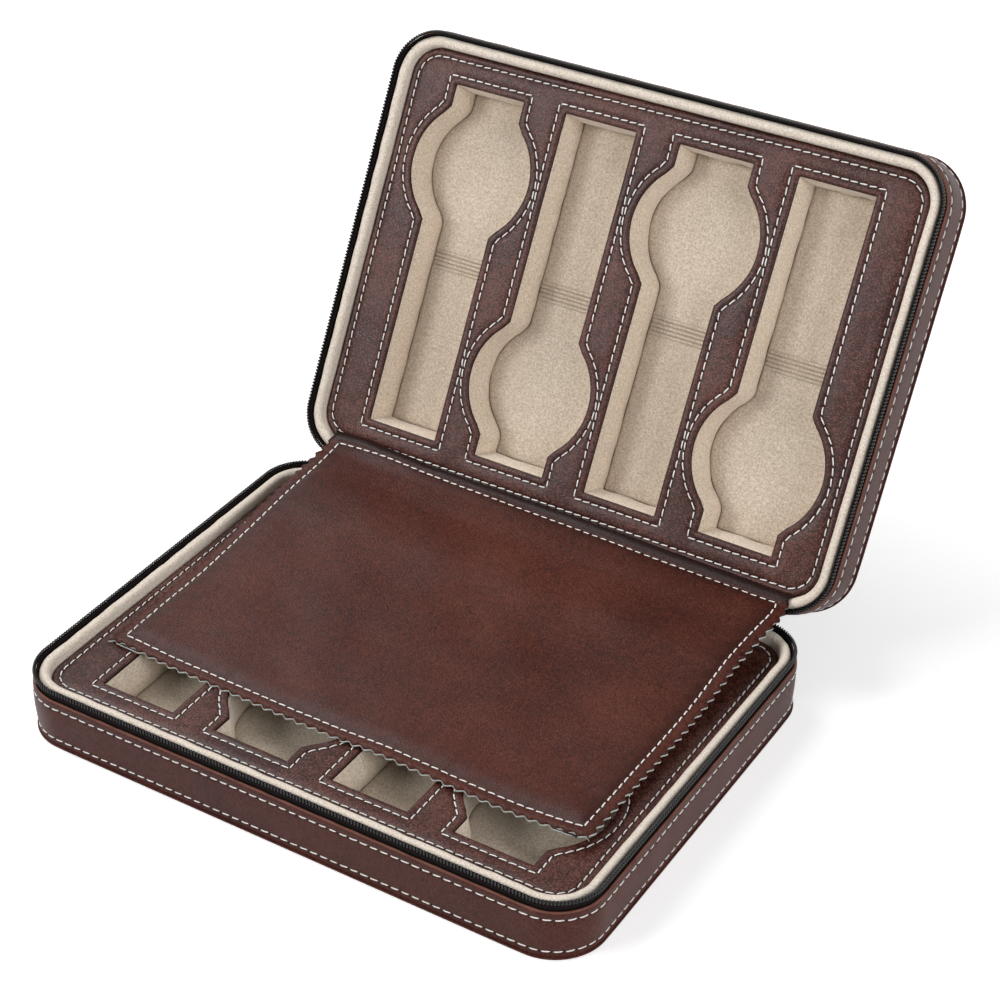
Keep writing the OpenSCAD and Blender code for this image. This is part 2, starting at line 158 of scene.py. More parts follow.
def smooth_step(x, low, high):
    t = np.clip((np.asarray(x, float) - low) / (high - low), 0, 1)
    return t * t * (3 - 2 * t)


def inside(points, outline):
    """Which points are inside the closed outline."""
    x, y = points[:, 0], points[:, 1]
    found = np.zeros(len(points), bool)
    for (x0, y0), (x1, y1) in zip(outline, np.roll(outline, -1, 0)):
        if y0 != y1:
            crosses = (y0 > y) != (y1 > y)
            found ^= crosses & (x < (x1 - x0) * (y - y0) / (y1 - y0) + x0)
    return found


def divided(corners, step, closed=True):
    """The polyline with its corners kept and its segments divided at about step."""
    corners = np.asarray(corners, float)
    ends = np.roll(corners, -1, 0) if closed else corners[1:]
    out = []
    for a, b in zip(corners, ends):
        n = max(1, round(np.linalg.norm(b - a) / step))
        out.append(a + (b - a) * (np.arange(n) / n)[:, None])
    if not closed:
        out.append(corners[-1:])
    return np.concatenate(out)


def distances(points, lines):
    """Distance from each point to the nearest of the closed lines."""
    samples = np.concatenate([divided(line, 0.2) for line in lines])
    tree = KDTree(len(samples))
    for i, (x, y) in enumerate(samples):
        tree.insert((x, y, 0), i)
    tree.balance()
    return np.array([tree.find((x, y, 0))[2] for x, y in points])


def lattice(across, ahead, stagger=0.0):
    """Points of a grid; every second row is moved sideways by stagger."""
    x, y = np.meshgrid(across, ahead)
    x = x + (np.arange(len(x)) % 2)[:, None] * stagger
    return np.column_stack([x.ravel(), y.ravel()])


def fill(outer, holes, extra):
    """Triangles between outer and holes, through the extra points; returns points and faces."""
    points, edges = [], []
    for line in [outer, *holes]:
        start, n = len(points), len(line)
        points.extend(map(tuple, line))
        edges.extend((start + i, start + (i + 1) % n) for i in range(n))
    points.extend(map(tuple, extra))
    out, _, faces, *_ = delaunay_2d_cdt([Vector(p) for p in points], edges, [], 0, 1e-5)
    out = np.array([tuple(p) for p in out])
    faces = np.array([f for f in faces if len(f) == 3])
    middle = out[faces].mean(1)
    keep = inside(middle, np.asarray(outer))
    for hole in holes:
        keep &= ~inside(middle, np.asarray(hole))
    return out, faces[keep]


def two_sided(upper, lower, tris):
    """A solid sheet between two surfaces, with walls round its open edges; the walls come last
    and are counted."""
    n = len(upper)
    edges = np.concatenate([tris[:, [0, 1]], tris[:, [1, 2]], tris[:, [2, 0]]])
    _, first, uses = np.unique(np.sort(edges, 1), axis=0, return_index=True, return_counts=True)
    e = edges[first[uses == 1]]
    walls = np.column_stack([e[:, 1], e[:, 0], e[:, 0] + n, e[:, 1] + n])
    return np.concatenate([upper, lower]), [*tris, *(tris[:, ::-1] + n), *walls], len(walls)


def closed_sheet(points, tris, top, bottom):
    """The same from a flat triangulation and the heights of its two sides."""
    return two_sided(np.column_stack([points, top]), np.column_stack([points, bottom]), tris)


# ---------------------------------------------------------------- outlines
HALF_X, HALF_Y = CASE_W / 2, CASE_D / 2
ARC = CORNER_R * math.pi / 2
STOPS = np.cumsum([HALF_X - CORNER_R, ARC, CASE_D - 2 * CORNER_R, ARC, HALF_X - CORNER_R])
HALF_LEN = STOPS[-1]


def track(s):
    """Point and outward normal at distance s along the tray's outline, from the middle of its back
    edge towards +X."""
    s = np.mod(np.asarray(s, float), 2 * HALF_LEN)
    back = s > HALF_LEN
    t = np.where(back, 2 * HALF_LEN - s, s)
    x, y = HALF_X - CORNER_R, HALF_Y - CORNER_R
    turn1 = math.pi / 2 - (t - STOPS[0]) / CORNER_R
    turn2 = -(t - STOPS[2]) / CORNER_R
    picks = [t < STOPS[0], t < STOPS[1], t < STOPS[2], t < STOPS[3]]
    nx = np.select(picks, [0, np.cos(turn1), 1, np.cos(turn2)], 0)
    ny = np.select(picks, [1, np.sin(turn1), 0, np.sin(turn2)], -1)
    px = np.select(picks, [t, x + CORNER_R * nx, HALF_X, x + CORNER_R * nx], x - (t - STOPS[3]))
    py = np.select(picks, [HALF_Y, y + CORNER_R * ny, y - (t - STOPS[1]), -y + CORNER_R * ny],
                   -HALF_Y)
    side = np.where(back, -1, 1)
    return (np.stack([px * side, py + MID_Y], -1), np.stack([nx * side, ny], -1))


def track_places(step, start=0, end=None):
    """Distances along the outline, with the corners' ends among them."""
    end = 2 * HALF_LEN if end is None else end
    marks = sorted({start, end, *[m for m in [*STOPS[:4], *(2 * HALF_LEN - STOPS[:4])]
                                  if start < m < end]})
    return np.concatenate([np.linspace(a, b, max(1, round((b - a) / step)), endpoint=False)
                           for a, b in zip(marks, marks[1:])] + [[end]])


def tray_outline(inset, step):
    """Closed line at that inset from the tray's outline."""
    p, n = track(track_places(step)[:-1])
    return p - inset * n


def well_corners(grow):
    """Corners and arcs of a well whose head place is towards +Y, as runs between its corners."""
    half_w, r, end = CHANNEL_W / 2 + grow, HEAD_R + grow, CHANNEL_L / 2 + grow
    meet = (r + 0.6) * math.sqrt(2) - half_w
    cut = (r - 0.3) * np.array([math.cos(HEAD_CUT), math.sin(HEAD_CUT)])
    neck = np.array([half_w, meet])
    d = cut - neck
    a, b, c = d @ d, 2 * neck @ d, neck @ neck - r * r
    on_arc = neck + d * (-b - math.sqrt(b * b - 4 * a * c)) / (2 * a)
    turn = math.atan2(on_arc[1], on_arc[0])
    turns = np.linspace(-turn, turn, 33)
    arc = np.column_stack([r * np.cos(turns), r * np.sin(turns) + HEAD_OFFSET])
    head = np.concatenate([[[half_w, HEAD_OFFSET - meet]], arc, [[half_w, HEAD_OFFSET + meet]]])
    other = head[::-1] * [-1, 1]
    corners = [[half_w, -end], *head.tolist(), [half_w, end], [-half_w, end], *other.tolist(),
               [-half_w, -end]]
    n = len(head)
    breaks = [0, 1, n, n + 1, n + 2, n + 3, 2 * n + 2, 2 * n + 3]
    return np.array(corners), breaks


def well_place(i, xy):
    """Moves a well's outline to place i of a tray; the head places alternate."""
    turned = xy * ([1, -1] if i % 2 == 0 else [1, 1])
    return turned + [(i - (WELL_COUNT + 1) / 2) * WELL_PITCH, MID_Y]


def outward(line):
    """Outward normals of a closed line that runs anticlockwise."""
    d = np.roll(line, -1, 0) - np.roll(line, 1, 0)
    n = np.column_stack([d[:, 1], -d[:, 0]])
    return n / np.linalg.norm(n, axis=1)[:, None]


def softened(line, sigma, step):
    """The closed line with its corners rounded by a Gaussian of that many millimetres."""
    if sigma <= 0:
        return line
    n = len(line)
    f = np.fft.fftfreq(n, step)
    g = np.exp(-2 * (np.pi * f * sigma) ** 2)
    return np.column_stack([np.fft.ifft(np.fft.fft(line[:, k]) * g).real for k in (0, 1)])


def clear_of_sliders(points):
    """Pushes points near the ends of the fold line out of the room in which a slider stands."""
    x, y, z = points.T
    near = smooth_step(-np.abs(np.abs(x) - (SLIDER_X + SLIDER_L / 2)), -SLIDER_L / 2 - 3.2,
                       -SLIDER_L / 2 - 0.8)
    r = np.maximum(np.hypot(y, z), 1e-6)
    push = 1 + near * np.maximum(RELIEF_R + 0.15 - r, 0) / r
    return np.column_stack([x, y * push, z * push])


# ---------------------------------------------------------------- materials
def srgb(*c):
    v = np.array(c, float) / 255
    v = np.where(v <= 0.04045, v / 12.92, ((v + 0.055) / 1.055) ** 2.4)
    return (*v.tolist(), 1.0)


class Nodes:
    """A small builder for a node material, or for the world."""

    def __init__(self, name, data=None):
        self.material = data or bpy.data.materials.new(name)
        self.material.use_nodes = True
        self.tree = self.material.node_tree
        self.coords = self.tree.nodes.new("ShaderNodeTexCoord")

    def wire(self, n, inputs):
        for k, v in inputs.items():
            if isinstance(v, bpy.types.NodeSocket):
                self.tree.links.new(v, n.inputs[k])
            else:
                n.inputs[k].default_value = v
        return n

    def node(self, kind, inputs=None, **settings):
        n = self.tree.nodes.new("ShaderNode" + kind)
        for k, v in settings.items():
            setattr(n, k, v)
        return self.wire(n, inputs or {})

    def noise(self, scale, detail=4, roughness=0.55, where=None):
        return self.node("TexNoise", {"Vector": where or self.coords.outputs["Object"],
                                      "Scale": scale, "Detail": detail,
                                      "Roughness": roughness}).outputs["Fac"]

    def cell_edges(self, scale, where):
        """Distance to the nearest edge of a Voronoi cell."""
        return self.node("TexVoronoi", {"Vector": where, "Scale": scale},
                         feature="DISTANCE_TO_EDGE").outputs["Distance"]

    def ramp(self, value, *stops):
        n = self.node("ValToRGB", {"Fac": value})
        elements = n.color_ramp.elements
        for e, (at, colour) in zip(elements, stops[:2]):
            e.position, e.color = at, colour
        for at, colour in stops[2:]:
            elements.new(at).color = colour
        return n.outputs["Color"]

    def mix(self, factor, a, b):
        return self.node("Mix", {0: factor, 6: a, 7: b}, data_type="RGBA").outputs[2]

    def math(self, operation, a, b):
        return self.node("Math", {0: a, 1: b}, operation=operation).outputs[0]

    def weighted(self, *parts):
        """Sum of (value, weight) pairs."""
        terms = [self.math("MULTIPLY", value, weight) for value, weight in parts]
        total = terms[0]
        for term in terms[1:]:
            total = self.math("ADD", total, term)
        return total

    def tinted(self, tone, attribute, weight, tint):
        """The tone, mixed with a tint where the mesh's attribute says so."""
        value = self.node("Attribute", attribute_name=attribute).outputs["Fac"]
        return self.mix(self.math("MULTIPLY", value, weight), tone, tint)

    def seen(self):
        """1 for the camera's rays and for glossy and transmission rays."""
        path = self.node("LightPath")
        either = self.math("MAXIMUM", path.outputs["Is Camera Ray"], path.outputs["Is Glossy Ray"])
        return self.math("MAXIMUM", either, path.outputs["Is Transmission Ray"])

    def spread(self, value, low, high, to_low, to_high):
        return self.node("MapRange", {"Value": value, "From Min": low, "From Max": high,
                                      "To Min": to_low, "To Max": to_high}).outputs["Result"]

    def bump(self, height, strength, distance, before=None):
        inputs = {"Height": height, "Strength": strength, "Distance": distance}
        if before:
            inputs["Normal"] = before
        return self.node("Bump", inputs).outputs["Normal"]

    def finish(self, colour, roughness, normal=None, **fixed):
        """Wires the Principled shader; the other keywords are named after its sockets."""
        inputs = {"Base Color": colour, "Roughness": roughness}
        if normal:
            inputs["Normal"] = normal
        for name, value in fixed.items():
            inputs[name.replace("_", " ").title().replace("Ior", "IOR")] = value
        self.wire(self.tree.nodes["Principled BSDF"], inputs)
        return self.material


def leatherette(name, colour, deep, light, rough, specular, relief, contrast=0.6, pore=1150,
                vary=0.10, creases=0.0):
    """Leatherette; relief is the height of its pebbles in metres, vary how narrow the range of its
    noise is that runs from deep to light."""
    m = Nodes(name)
    patches = m.noise(22, 3)
    fine = m.noise(1300, 3, 0.6)
    grain = m.noise(420, 4, 0.6)
    tone = m.ramp(m.weighted((patches, 0.24), (fine, 0.58), (grain, 0.18)), (0.5 - vary, deep),
                  (0.5 + vary, light), (0.5, colour))
    stretched = m.node("Mapping", {"Vector": m.coords.outputs["Object"], "Scale": (1, 0.62, 1),
                                   "Rotation": (0, 0, 0.5)}).outputs["Vector"]
    pores = m.cell_edges(pore, stretched)
    tone = m.mix(m.spread(pores, 0.0, 0.2, contrast, 0.0), tone, deep)
    # Painted shade: the seam attribute darkens the stitch grooves and cut edges, and on the flap
    # also its hem and the padding's turn-down.
    tone = m.tinted(tone, "seam", 0.7, deep)
    # Painted highlight: a lighter tone on the band's turned-over upper lip, where light catches it.
    tone = m.tinted(tone, "lip_highlight", 0.7, srgb(146, 98, 84))
    # Painted shadow: near-black in the groove where the flap's hem drops against the lid.
    tone = m.tinted(tone, "groove", 0.85, srgb(20, 6, 4))
    normal = m.bump(m.noise(170, 5, 0.6, stretched), 0.5, relief * 1.6)
    if creases:
        swirl = m.node("TexNoise", {"Vector": m.coords.outputs["Object"], "Scale": 34.0,
                                    "Detail": 3}).outputs["Color"]
        swirl = m.node("VectorMath", {0: swirl, "Scale": 0.03}, operation="SCALE").outputs[0]
        bent = m.node("VectorMath", {0: m.coords.outputs["Object"], 1: swirl}, operation="ADD")
        cells = m.node("Mapping", {"Vector": bent.outputs[0], "Scale": (1, 0.5, 1)})
        lines = m.spread(m.cell_edges(24, cells.outputs["Vector"]), 0.0, 0.035, 1.0, 0.0)
        lines = m.math("MULTIPLY", lines, m.spread(m.noise(13, 2), 0.48, 0.66, 0.0, 1.0))
        # Painted shade: the crease lines are darkened.
        tone = m.mix(m.math("MULTIPLY", lines, creases), tone, deep)
        normal = m.bump(m.math("SUBTRACT", 1.0, lines), 0.2, 0.0003, normal)
    normal = m.bump(m.spread(pores, 0.0, 0.5, 0.0, 1.0), 0.9, relief, normal)
    roughness = m.spread(m.weighted((patches, 1.0), (fine, 0.5)), 0.45, 1.05, rough - 0.04,
                         rough + 0.06)
    return m.finish(tone, roughness, normal, specular_ior_level=specular)


def velvet(name, colour, deep, light):
    m = Nodes(name)
    nap = m.noise(1250, 2, 0.5)
    brushed = m.noise(260, 3, 0.6)
    broad = m.noise(24, 2)
    tone = m.ramp(m.weighted((nap, 0.86), (brushed, 0.07), (broad, 0.07)), (0.30, deep),
                  (0.70, light), (0.5, colour))
    # Painted shade: darker in the pleat valleys and in the crease where a wall meets its floor.
    tone = m.tinted(tone, "fold", 0.75, [c * 0.42 for c in deep[:3]] + [1])
    normal = m.bump(brushed, 0.05, 0.0008)
    normal = m.bump(nap, 0.4, 0.0003, normal)
    return m.finish(tone, m.spread(nap, 0.3, 0.7, 0.86, 0.98), normal, sheen_weight=0.3,
                    sheen_roughness=0.45, specular_ior_level=0.15)


LEATHER = leatherette("leatherette", srgb(74, 33, 25), srgb(46, 16, 10), srgb(90, 47, 38), 0.42,
                      0.17, 0.00014, 0.55, 1250)
FLAP_LEATHER = leatherette("flap_leatherette", srgb(78, 31, 20), srgb(40, 10, 5),
                           srgb(98, 49, 34), 0.36, 0.18, 0.00009, 0.5, 1100, creases=0.2)
FACE_LEATHER = leatherette("face_leatherette", srgb(80, 40, 32), srgb(38, 14, 9),
                           srgb(112, 70, 61), 0.33, 0.22, 0.00006, 0.7, 1150, 0.06)
VELVET = velvet("velvet", srgb(217, 202, 184), srgb(190, 172, 151), srgb(238, 226, 210))
RIM_VELVET = velvet("rim_velvet", srgb(229, 216, 201), srgb(206, 191, 173), srgb(244, 235, 224))
SUEDE = velvet("suede", srgb(104, 104, 90), srgb(80, 80, 68), srgb(128, 128, 114))


def plain(name, noise, low, high, rough, bump=None, **fixed):
    """One noise gives the colour, from low to high, the bump, and the roughness if that is a
    pair."""
    m = Nodes(name)
    value = m.noise(*noise)
    if isinstance(rough, tuple):
        rough = m.spread(value, 0.3, 0.7, *rough)
    return m.finish(m.ramp(value, low, high), rough, m.bump(value, *bump) if bump else None,
                    **fixed)


CUT_EDGE = plain("suede_cut_edge", (1500, 5, 0.7), (0.35, srgb(168, 178, 174)),
                 (0.65, srgb(222, 228, 224)), 0.95, (0.5, 0.0003), specular_ior_level=0.1)
THREAD = plain("thread", (2600, 3), (0.3, srgb(226, 223, 216)), (0.7, srgb(252, 251, 248)), 0.6,
               (0.5, 0.0002), specular_ior_level=0.3, sheen_weight=0.2)
# Painted shade: near-black tubes at the stitch holes stand for the shade inside them.
HOLE = plain("stitch_hole_shade", (1500, 2), (0.3, srgb(10, 6, 5)), (0.7, srgb(30, 18, 15)), 0.8,
             specular_ior_level=0.1)
NYLON = plain("nylon_coil", (700, 3), (0.35, srgb(6, 5, 5)), (0.7, srgb(17, 15, 15)),
              (0.16, 0.26), (0.15, 0.0002), specular_ior_level=0.42)


def woven():
    m = Nodes("woven_tape")
    ribs, cross = (m.node("TexWave", {"Vector": m.coords.outputs["UV"], "Scale": scale,
                                      "Distortion": distortion}, bands_direction=axis)
                   for scale, distortion, axis in ((420.0, 0.6, "X"), (300.0, 0.4, "Y")))
    weave = m.math("MULTIPLY", ribs.outputs["Fac"], cross.outputs["Fac"])
    tone = m.ramp(m.weighted((weave, 0.6), (m.noise(800, 4), 0.4)), (0.2, srgb(8, 5, 5)),
                  (0.8, srgb(34, 25, 23)))
    return m.finish(tone, 0.85, m.bump(weave, 0.5, 0.0002), specular_ior_level=0.12)


def metal():
    m = Nodes("zip_metal")
    scratches = m.noise(900, 2)
    tone = m.ramp(m.noise(160, 5), (0.35, srgb(96, 92, 86)), (0.7, srgb(150, 146, 138)))
    return m.finish(tone, m.spread(scratches, 0.3, 0.7, 0.28, 0.45),
                    m.bump(scratches, 0.12, 0.0001), metallic=1.0)


def fibreboard(name, dark, light):
    return plain(name, (600, 6, 0.7), (0.3, dark), (0.7, light), 0.9, (0.4, 0.0003),
                 specular_ior_level=0.2)


TAPE, METAL = woven(), metal()
# Near-black cut edge of the face sheet: partly the leatherette's own dark edge, partly painted
# shadow of the gap between face and lining.
RAW_EDGE_AND_SHADE = fibreboard("raw_edge_and_shade", srgb(16, 11, 10), srgb(34, 24, 22))
BOARD = fibreboard("board", srgb(120, 104, 80), srgb(168, 150, 122))
FOAM = fibreboard("foam", srgb(170, 166, 156), srgb(206, 202, 192))

# ---------------------------------------------------------------- stitching
SECTION = np.linspace(0, 2 * np.pi, 7)[:-1]


def run_frames(points, normals, places):
    """Point, tangent and normal at each place along a run."""
    seg = np.linalg.norm(np.diff(points, axis=0), axis=1)
    s = np.concatenate([[0], np.cumsum(seg)])
    at = np.stack([np.interp(places, s, points[:, k]) for k in range(3)], -1)
    n = np.stack([np.interp(places, s, normals[:, k]) for k in range(3)], -1)
    within = np.clip(places, 0.3, s[-1] - 0.3)
    ahead = np.stack([np.interp(within + 0.3, s, points[:, k]) for k in range(3)], -1)
    behind = np.stack([np.interp(within - 0.3, s, points[:, k]) for k in range(3)], -1)
    t = ahead - behind
    t /= np.linalg.norm(t, axis=-1, keepdims=True)
    n -= (n * t).sum(-1, keepdims=True) * t
    n /= np.linalg.norm(n, axis=-1, keepdims=True)
    return at, t, n


def run_length(points):
    return np.linalg.norm(np.diff(points, axis=0), axis=1).sum()


def tubes(at, side, up, half_w, half_h, start):
    """Closed tubes: at, side and up are (tubes, rings, 3), with half sizes (tubes, rings); the
    first point's number is start."""
    count, rings, _ = at.shape
    k = len(SECTION)
    ring = (at[:, :, None] + side[:, :, None] * (half_w[..., None] * np.cos(SECTION))[..., None]
            + up[:, :, None] * (half_h[..., None] * np.sin(SECTION))[..., None])
    points = ring.reshape(-1, 3)
    base = grid_faces(rings, k, wrap_columns=True)
    faces = (base[None] + (np.arange(count) * rings * k)[:, None, None]).reshape(-1, 4) + start
    caps = []
    for c in range(count):
        first = start + c * rings * k
        last = first + (rings - 1) * k
        caps.append(tuple(range(first + k - 1, first - 1, -1)))
        caps.append(tuple(range(last, last + k)))
    return points, [*faces, *caps]


def sew(runs, pitch, gap, width, seed):
    """Thread and holes for a list of runs. Returns (points, faces) of each."""
    r = np.random.RandomState(seed)
    parts = ([], []), ([], [])

    def add(kind, at, side, up, half_w, flatness):
        points, faces = parts[kind]
        p, f = tubes(at, side, up, half_w, half_w * flatness, sum(map(len, points)))
        points.append(p)
        faces.extend(f)

    t = np.linspace(-1, 1, 7)
    rise = 1 - t ** 4
    u = np.array([-1, -0.75, 0, 0.75, 1])
    for points, normals in runs:
        total = run_length(points)
        count = max(1, round(total / pitch))
        step = total / count
        centre = (np.arange(count) + 0.5) * step + r.uniform(-0.05, 0.05, count)
        half = (step - gap) / 2 * r.uniform(0.94, 1.04, count)
        at, along, n = run_frames(points, normals, (centre[:, None] + t * half[:, None]))
        side = np.cross(n, along)
        lean = r.uniform(0.04, 0.20, count)[:, None, None] * t[None, :, None]
        at = at + n * (0.30 * rise - 0.14)[None, :, None] + side * lean
        add(0, at, side, n, np.broadcast_to(width / 2 * (1 - 0.45 * t ** 6), at.shape[:2]), 0.62)
        # Flat near-black tubes at each gap: painted shade of the stitch holes.
        places = np.arange(count + 1) * step
        at, along, n = run_frames(points, normals, places[:, None] + u * gap * 0.62)
        add(1, at, np.cross(n, along), n, np.broadcast_to(
            width * 0.34 * np.sqrt(np.maximum(1 - u ** 2, 0.04)), at.shape[:2]), 0.35)
    return [(np.concatenate(points), faces) for points, faces in parts]


def stitching(name, half, *sewn):
    """The thread and the holes of results of sew, as two objects."""
    objects = []
    for k, (kind, material) in enumerate((("thread", THREAD), ("stitch_holes", HOLE))):
        points, faces = [], []
        for part in sewn:
            start = sum(map(len, points))
            points.append(part[k][0])
            faces += [tuple(np.asarray(f) + start) for f in part[k][1]]
        objects.append(add_mesh(f"{name}_{kind}", place(np.concatenate(points), half), faces,
                                material))
    return objects


def flat_run(xy, z):
    """A run for sew on a level face: its points and their normals."""
    n = len(xy)
    return (np.column_stack([xy, np.full(n, z)]), np.tile([0.0, 0, 1], (n, 1)))


# ---------------------------------------------------------------- tray pieces
def repeated(profile, places):
    """A profile of (inset, height) rows, as an array (rows, places, 2)."""
    return np.repeat(np.array(profile, float)[:, None], len(places), 1)


def sweep(rows, places, closed=True):
    """Carries an array (rows, places, 2) of insets and heights round the outline."""
    p, n = track(places)
    xy = p[None] - rows[..., :1] * n[None]
    points = np.concatenate([xy, rows[..., 1:]], -1)
    return points.reshape(-1, 3), grid_faces(len(rows), len(places), wrap_columns=closed)


def end_caps(rows, places):
    """The two ends of a strip that covers part of the outline."""
    k, m = len(rows), len(places)
    return [tuple(i * m for i in range(k)), tuple(i * m + m - 1 for i in range(k))[::-1]]


def panel_cover():
    """Outer panel: a flat sheet with a rolled edge, a little pillowed towards its border."""
    z0 = -HALF_H
    places = track_places(2.0)[:-1]
    rows = repeated([(15, z0), (11, z0), (7, z0 + 0.02), (4, z0 + 0.08), (2.3, z0 + 0.16),
                     (1.36, z0 + 0.24), (0.98, z0 + 0.34), (0.73, z0 + 0.52), (0.62, z0 + 0.76),
                     (0.65, z0 + 1.0), (0.79, z0 + 1.14), (0.98, z0 + 1.2), (3.3, z0 + 1.2)],
                    places)
    rows[..., 0] += (1 - smooth_step(rows[..., 0], 0.6, 8)) * 0.4 * at_corner(places)
    points, faces = sweep(rows, places)
    n = len(places)
    rim = points[:n, :2]
    mids = np.array([(x, y) for x in np.arange(-110, 111, 10.0)
                     for y in MID_Y + np.arange(-80, 81, 10.0)])
    mids = mids[distances(mids, [rim]) > 5]
    mids = mids[inside(mids, rim)]
    flat, tris = fill(rim, [], mids)
    middle = np.column_stack([flat[n:], np.full(len(flat) - n, z0)])
    index = np.concatenate([np.arange(n), len(points) + np.arange(len(middle))])
    return np.concatenate([points, middle]), [*faces, *index[tris]]


def at_corner(places):
    """1 in the middle of a corner, 0 along the straight edges."""
    places = np.asarray(places)
    middles = np.array([(STOPS[0] + STOPS[1]) / 2, (STOPS[2] + STOPS[3]) / 2])
    away = np.abs(places[..., None] - np.concatenate([middles, 2 * HALF_LEN - middles]))
    return smooth_step(-away.min(-1), -(STOPS[1] - STOPS[0]) * 0.8, 0)


def skirt(height, places):
    """How far the band is drawn in towards the panel."""
    return (1 - smooth_step(height, -25.5, -9)) * (0.1 + 0.3 * at_corner(places))


def band_rows(places):
    """Side band: it swells between its two stitch lines and its upper edge is turned over."""
    z = np.concatenate([np.linspace(-27.3, -24.9, 6), np.linspace(-24.7, -24.3, 4),
                        np.linspace(-23.8, -9.6, 18), np.linspace(-9.2, -8.8, 4),
                        [-8.4, -7.8, -7.2]])
    high, low = BAND_ROWS
    u = np.clip((z - low) / (high - low), 0, 1)
    puff = 0.32 * np.sin(np.pi * u) ** 0.6
    puff += 0.12 * np.sin(np.pi * np.clip((z - high) / (-6.2 - high), 0, 1))
    groove = sum(0.13 * np.exp(-((z - row) / 0.42) ** 2) for row in BAND_ROWS)
    rows = list(zip(BAND_IN - puff + groove, z))
    rows += [(BAND_IN + 0.68 - 0.68 * math.cos(a), -6.2 + 0.68 * math.sin(a))
             for a in np.linspace(0.1, math.pi - 0.1, 9)]
    rows = repeated([*rows, (2.62, -7.4), (2.98, -8.4), (2.98, -9.7)], places)
    height = rows[:, :1, 1]
    body = smooth_step(height, -26.5, -22) * (1 - smooth_step(height, -9.4, -7.4))
    rows[..., 0] -= body * 0.10 * wave(places, 5, 14, 60)
    rows[..., 0] += skirt(height, places)
    lip = smooth_step(height, -8.2, -6.4)
    rows[..., 1] += lip * 0.10 * wave(places, 6, 9, 40)
    return rows


def rim_rows(places):
    """Velvet roll inside the zip."""
    r = 2.15
    x, z = 6.05, -1.9 - r
    rows = [(4.05, -11.9), (4.0, -8), (3.93, -5.6)]
    rows += [(x - r * math.cos(a), z + r * math.sin(a)) for a in np.linspace(0, math.pi, 17)]
    rows = repeated([*rows, (8.3, -5.4), (8.4, -6.5), (8.4, -8), (8.4, -11.9)], places)
    crown = smooth_step(rows[:, :1, 1], -4.5, -2)
    rows[..., 1] += crown * 0.12 * wave(places, 21, 10, 45) - 0.08
    rows[..., 0] += crown * 0.10 * wave(places, 22, 12, 50)
    return rows


TAPE_PROFILE = [(3.0, -13), (3.0, -9), (2.92, -6.6), (2.75, -5.4), (2.5, -4.6), (2.45, -3.9),
                (2.62, -3.3), (2.84, -2.8), (2.9, -1.7), (2.95, -1.54), (3.08, -1.5),
                (3.24, -1.54), (3.34, -1.7), (3.4, -2), (3.46, -6), (3.46, -13)]


def coil_teeth(start, end):
    """Loops of the nylon coil, each a round wire bent to an oval and leaning a little."""
    wire, mid_in, mid_z, squareness = 0.39, 2.15, -1.5, 0.8
    half_in, half_z = 0.68 - wire, 1.15 - wire           # half axes of the wire's middle line
    count = math.floor((end - start) / TOOTH_PITCH)
    places = start + (np.arange(count) + 0.5) * (end - start) / count
    turns = np.linspace(0, 2 * np.pi, 15)[:-1]
    c, s = np.cos(turns), np.sin(turns)
    du = half_in * np.sign(c) * np.abs(c) ** squareness
    dz = half_z * np.sign(s) * np.abs(s) ** squareness
    lean = 0.40 * c
    p, n = track(places)
    along = np.column_stack([n[:, 1], -n[:, 0]])
    centre = (p[:, None] - (mid_in + du)[None, :, None] * n[:, None]
              + lean[None, :, None] * along[:, None])
    centre = np.concatenate([centre, np.broadcast_to((mid_z + dz)[None, :, None],
                                                     (*centre.shape[:2], 1))], -1)
    n3 = np.column_stack([n, np.zeros(count)])
    radial = (-n3[:, None] * (c * half_z)[None, :, None]
              + np.array([0, 0, 1.0]) * (s * half_in)[None, :, None])
    radial /= np.linalg.norm(radial, axis=-1, keepdims=True)
    a3 = np.column_stack([along, np.zeros(count)])[:, None]
    around = np.linspace(0, 2 * np.pi, 7)[:-1]
    points = (centre[:, :, None] + radial[:, :, None] * (wire * np.cos(around))[:, None]
              + a3[:, :, None] * (wire * np.sin(around))[:, None])
    base = grid_faces(len(turns), len(around), True, True)
    step = len(turns) * len(around)
    faces = (base[None] + (np.arange(count) * step)[:, None, None]).reshape(-1, 4)
    return points.reshape(-1, 3), faces


def coil_core(start, end):
    """The cord that the loops of the coil go round."""
    places = track_places(1.4, start, end)
    rows = repeated([(2.42 + 0.28 * math.cos(a), -1.75 + 0.6 * math.sin(a))
                     for a in np.linspace(0, 2 * np.pi, 11)[:-1]], places)
    points, _ = sweep(rows, places)
    return points, [*grid_faces(len(rows), len(places), wrap_rows=True), *end_caps(rows, places)]


# The face: one flat triangulation serves both trays
WELLS = range(1, WELL_COUNT + 1)
EDGE_RINGS = (0.2, 0.5, 0.9, 1.5, 2.2, 2.8, 3.2, 3.5, 3.8, 4.05)


def well_lines(grow, step):
    """The four wells' outlines, grown, with points about a step apart."""
    return [divided(well_place(i, well_corners(grow)[0]), step) for i in WELLS]


def face_points():
    """Flat points and triangles of the face, finer along its edges, and its lines."""
    outer = tray_outline(FACE_IN, 1.3)
    holes = well_lines(0.0, 1.0)
    lines = [outer, *holes]

    def between(points, least):
        points = points[inside(points, outer)]
        for hole in holes:
            points = points[~inside(points, hole)]
        return points[distances(points, lines) > least]

    step = 1.5
    kept = [between(lattice(np.arange(-120, 121, step), MID_Y + np.arange(-88, 89, step), step / 2),
                    4.6)]
    for d in EDGE_RINGS:
        kept += [between(ring, d - 0.06)
                 for ring in [tray_outline(FACE_IN + d, 1.3), *well_lines(d, 1.1)]]
    return fill(outer, holes, np.concatenate(kept)), outer, holes


(FACE_XY, FACE_TRIS), FACE_OUTER, FACE_HOLES = face_points()
TO_RIM = distances(FACE_XY, [FACE_OUTER])
TO_WELL = distances(FACE_XY, FACE_HOLES)


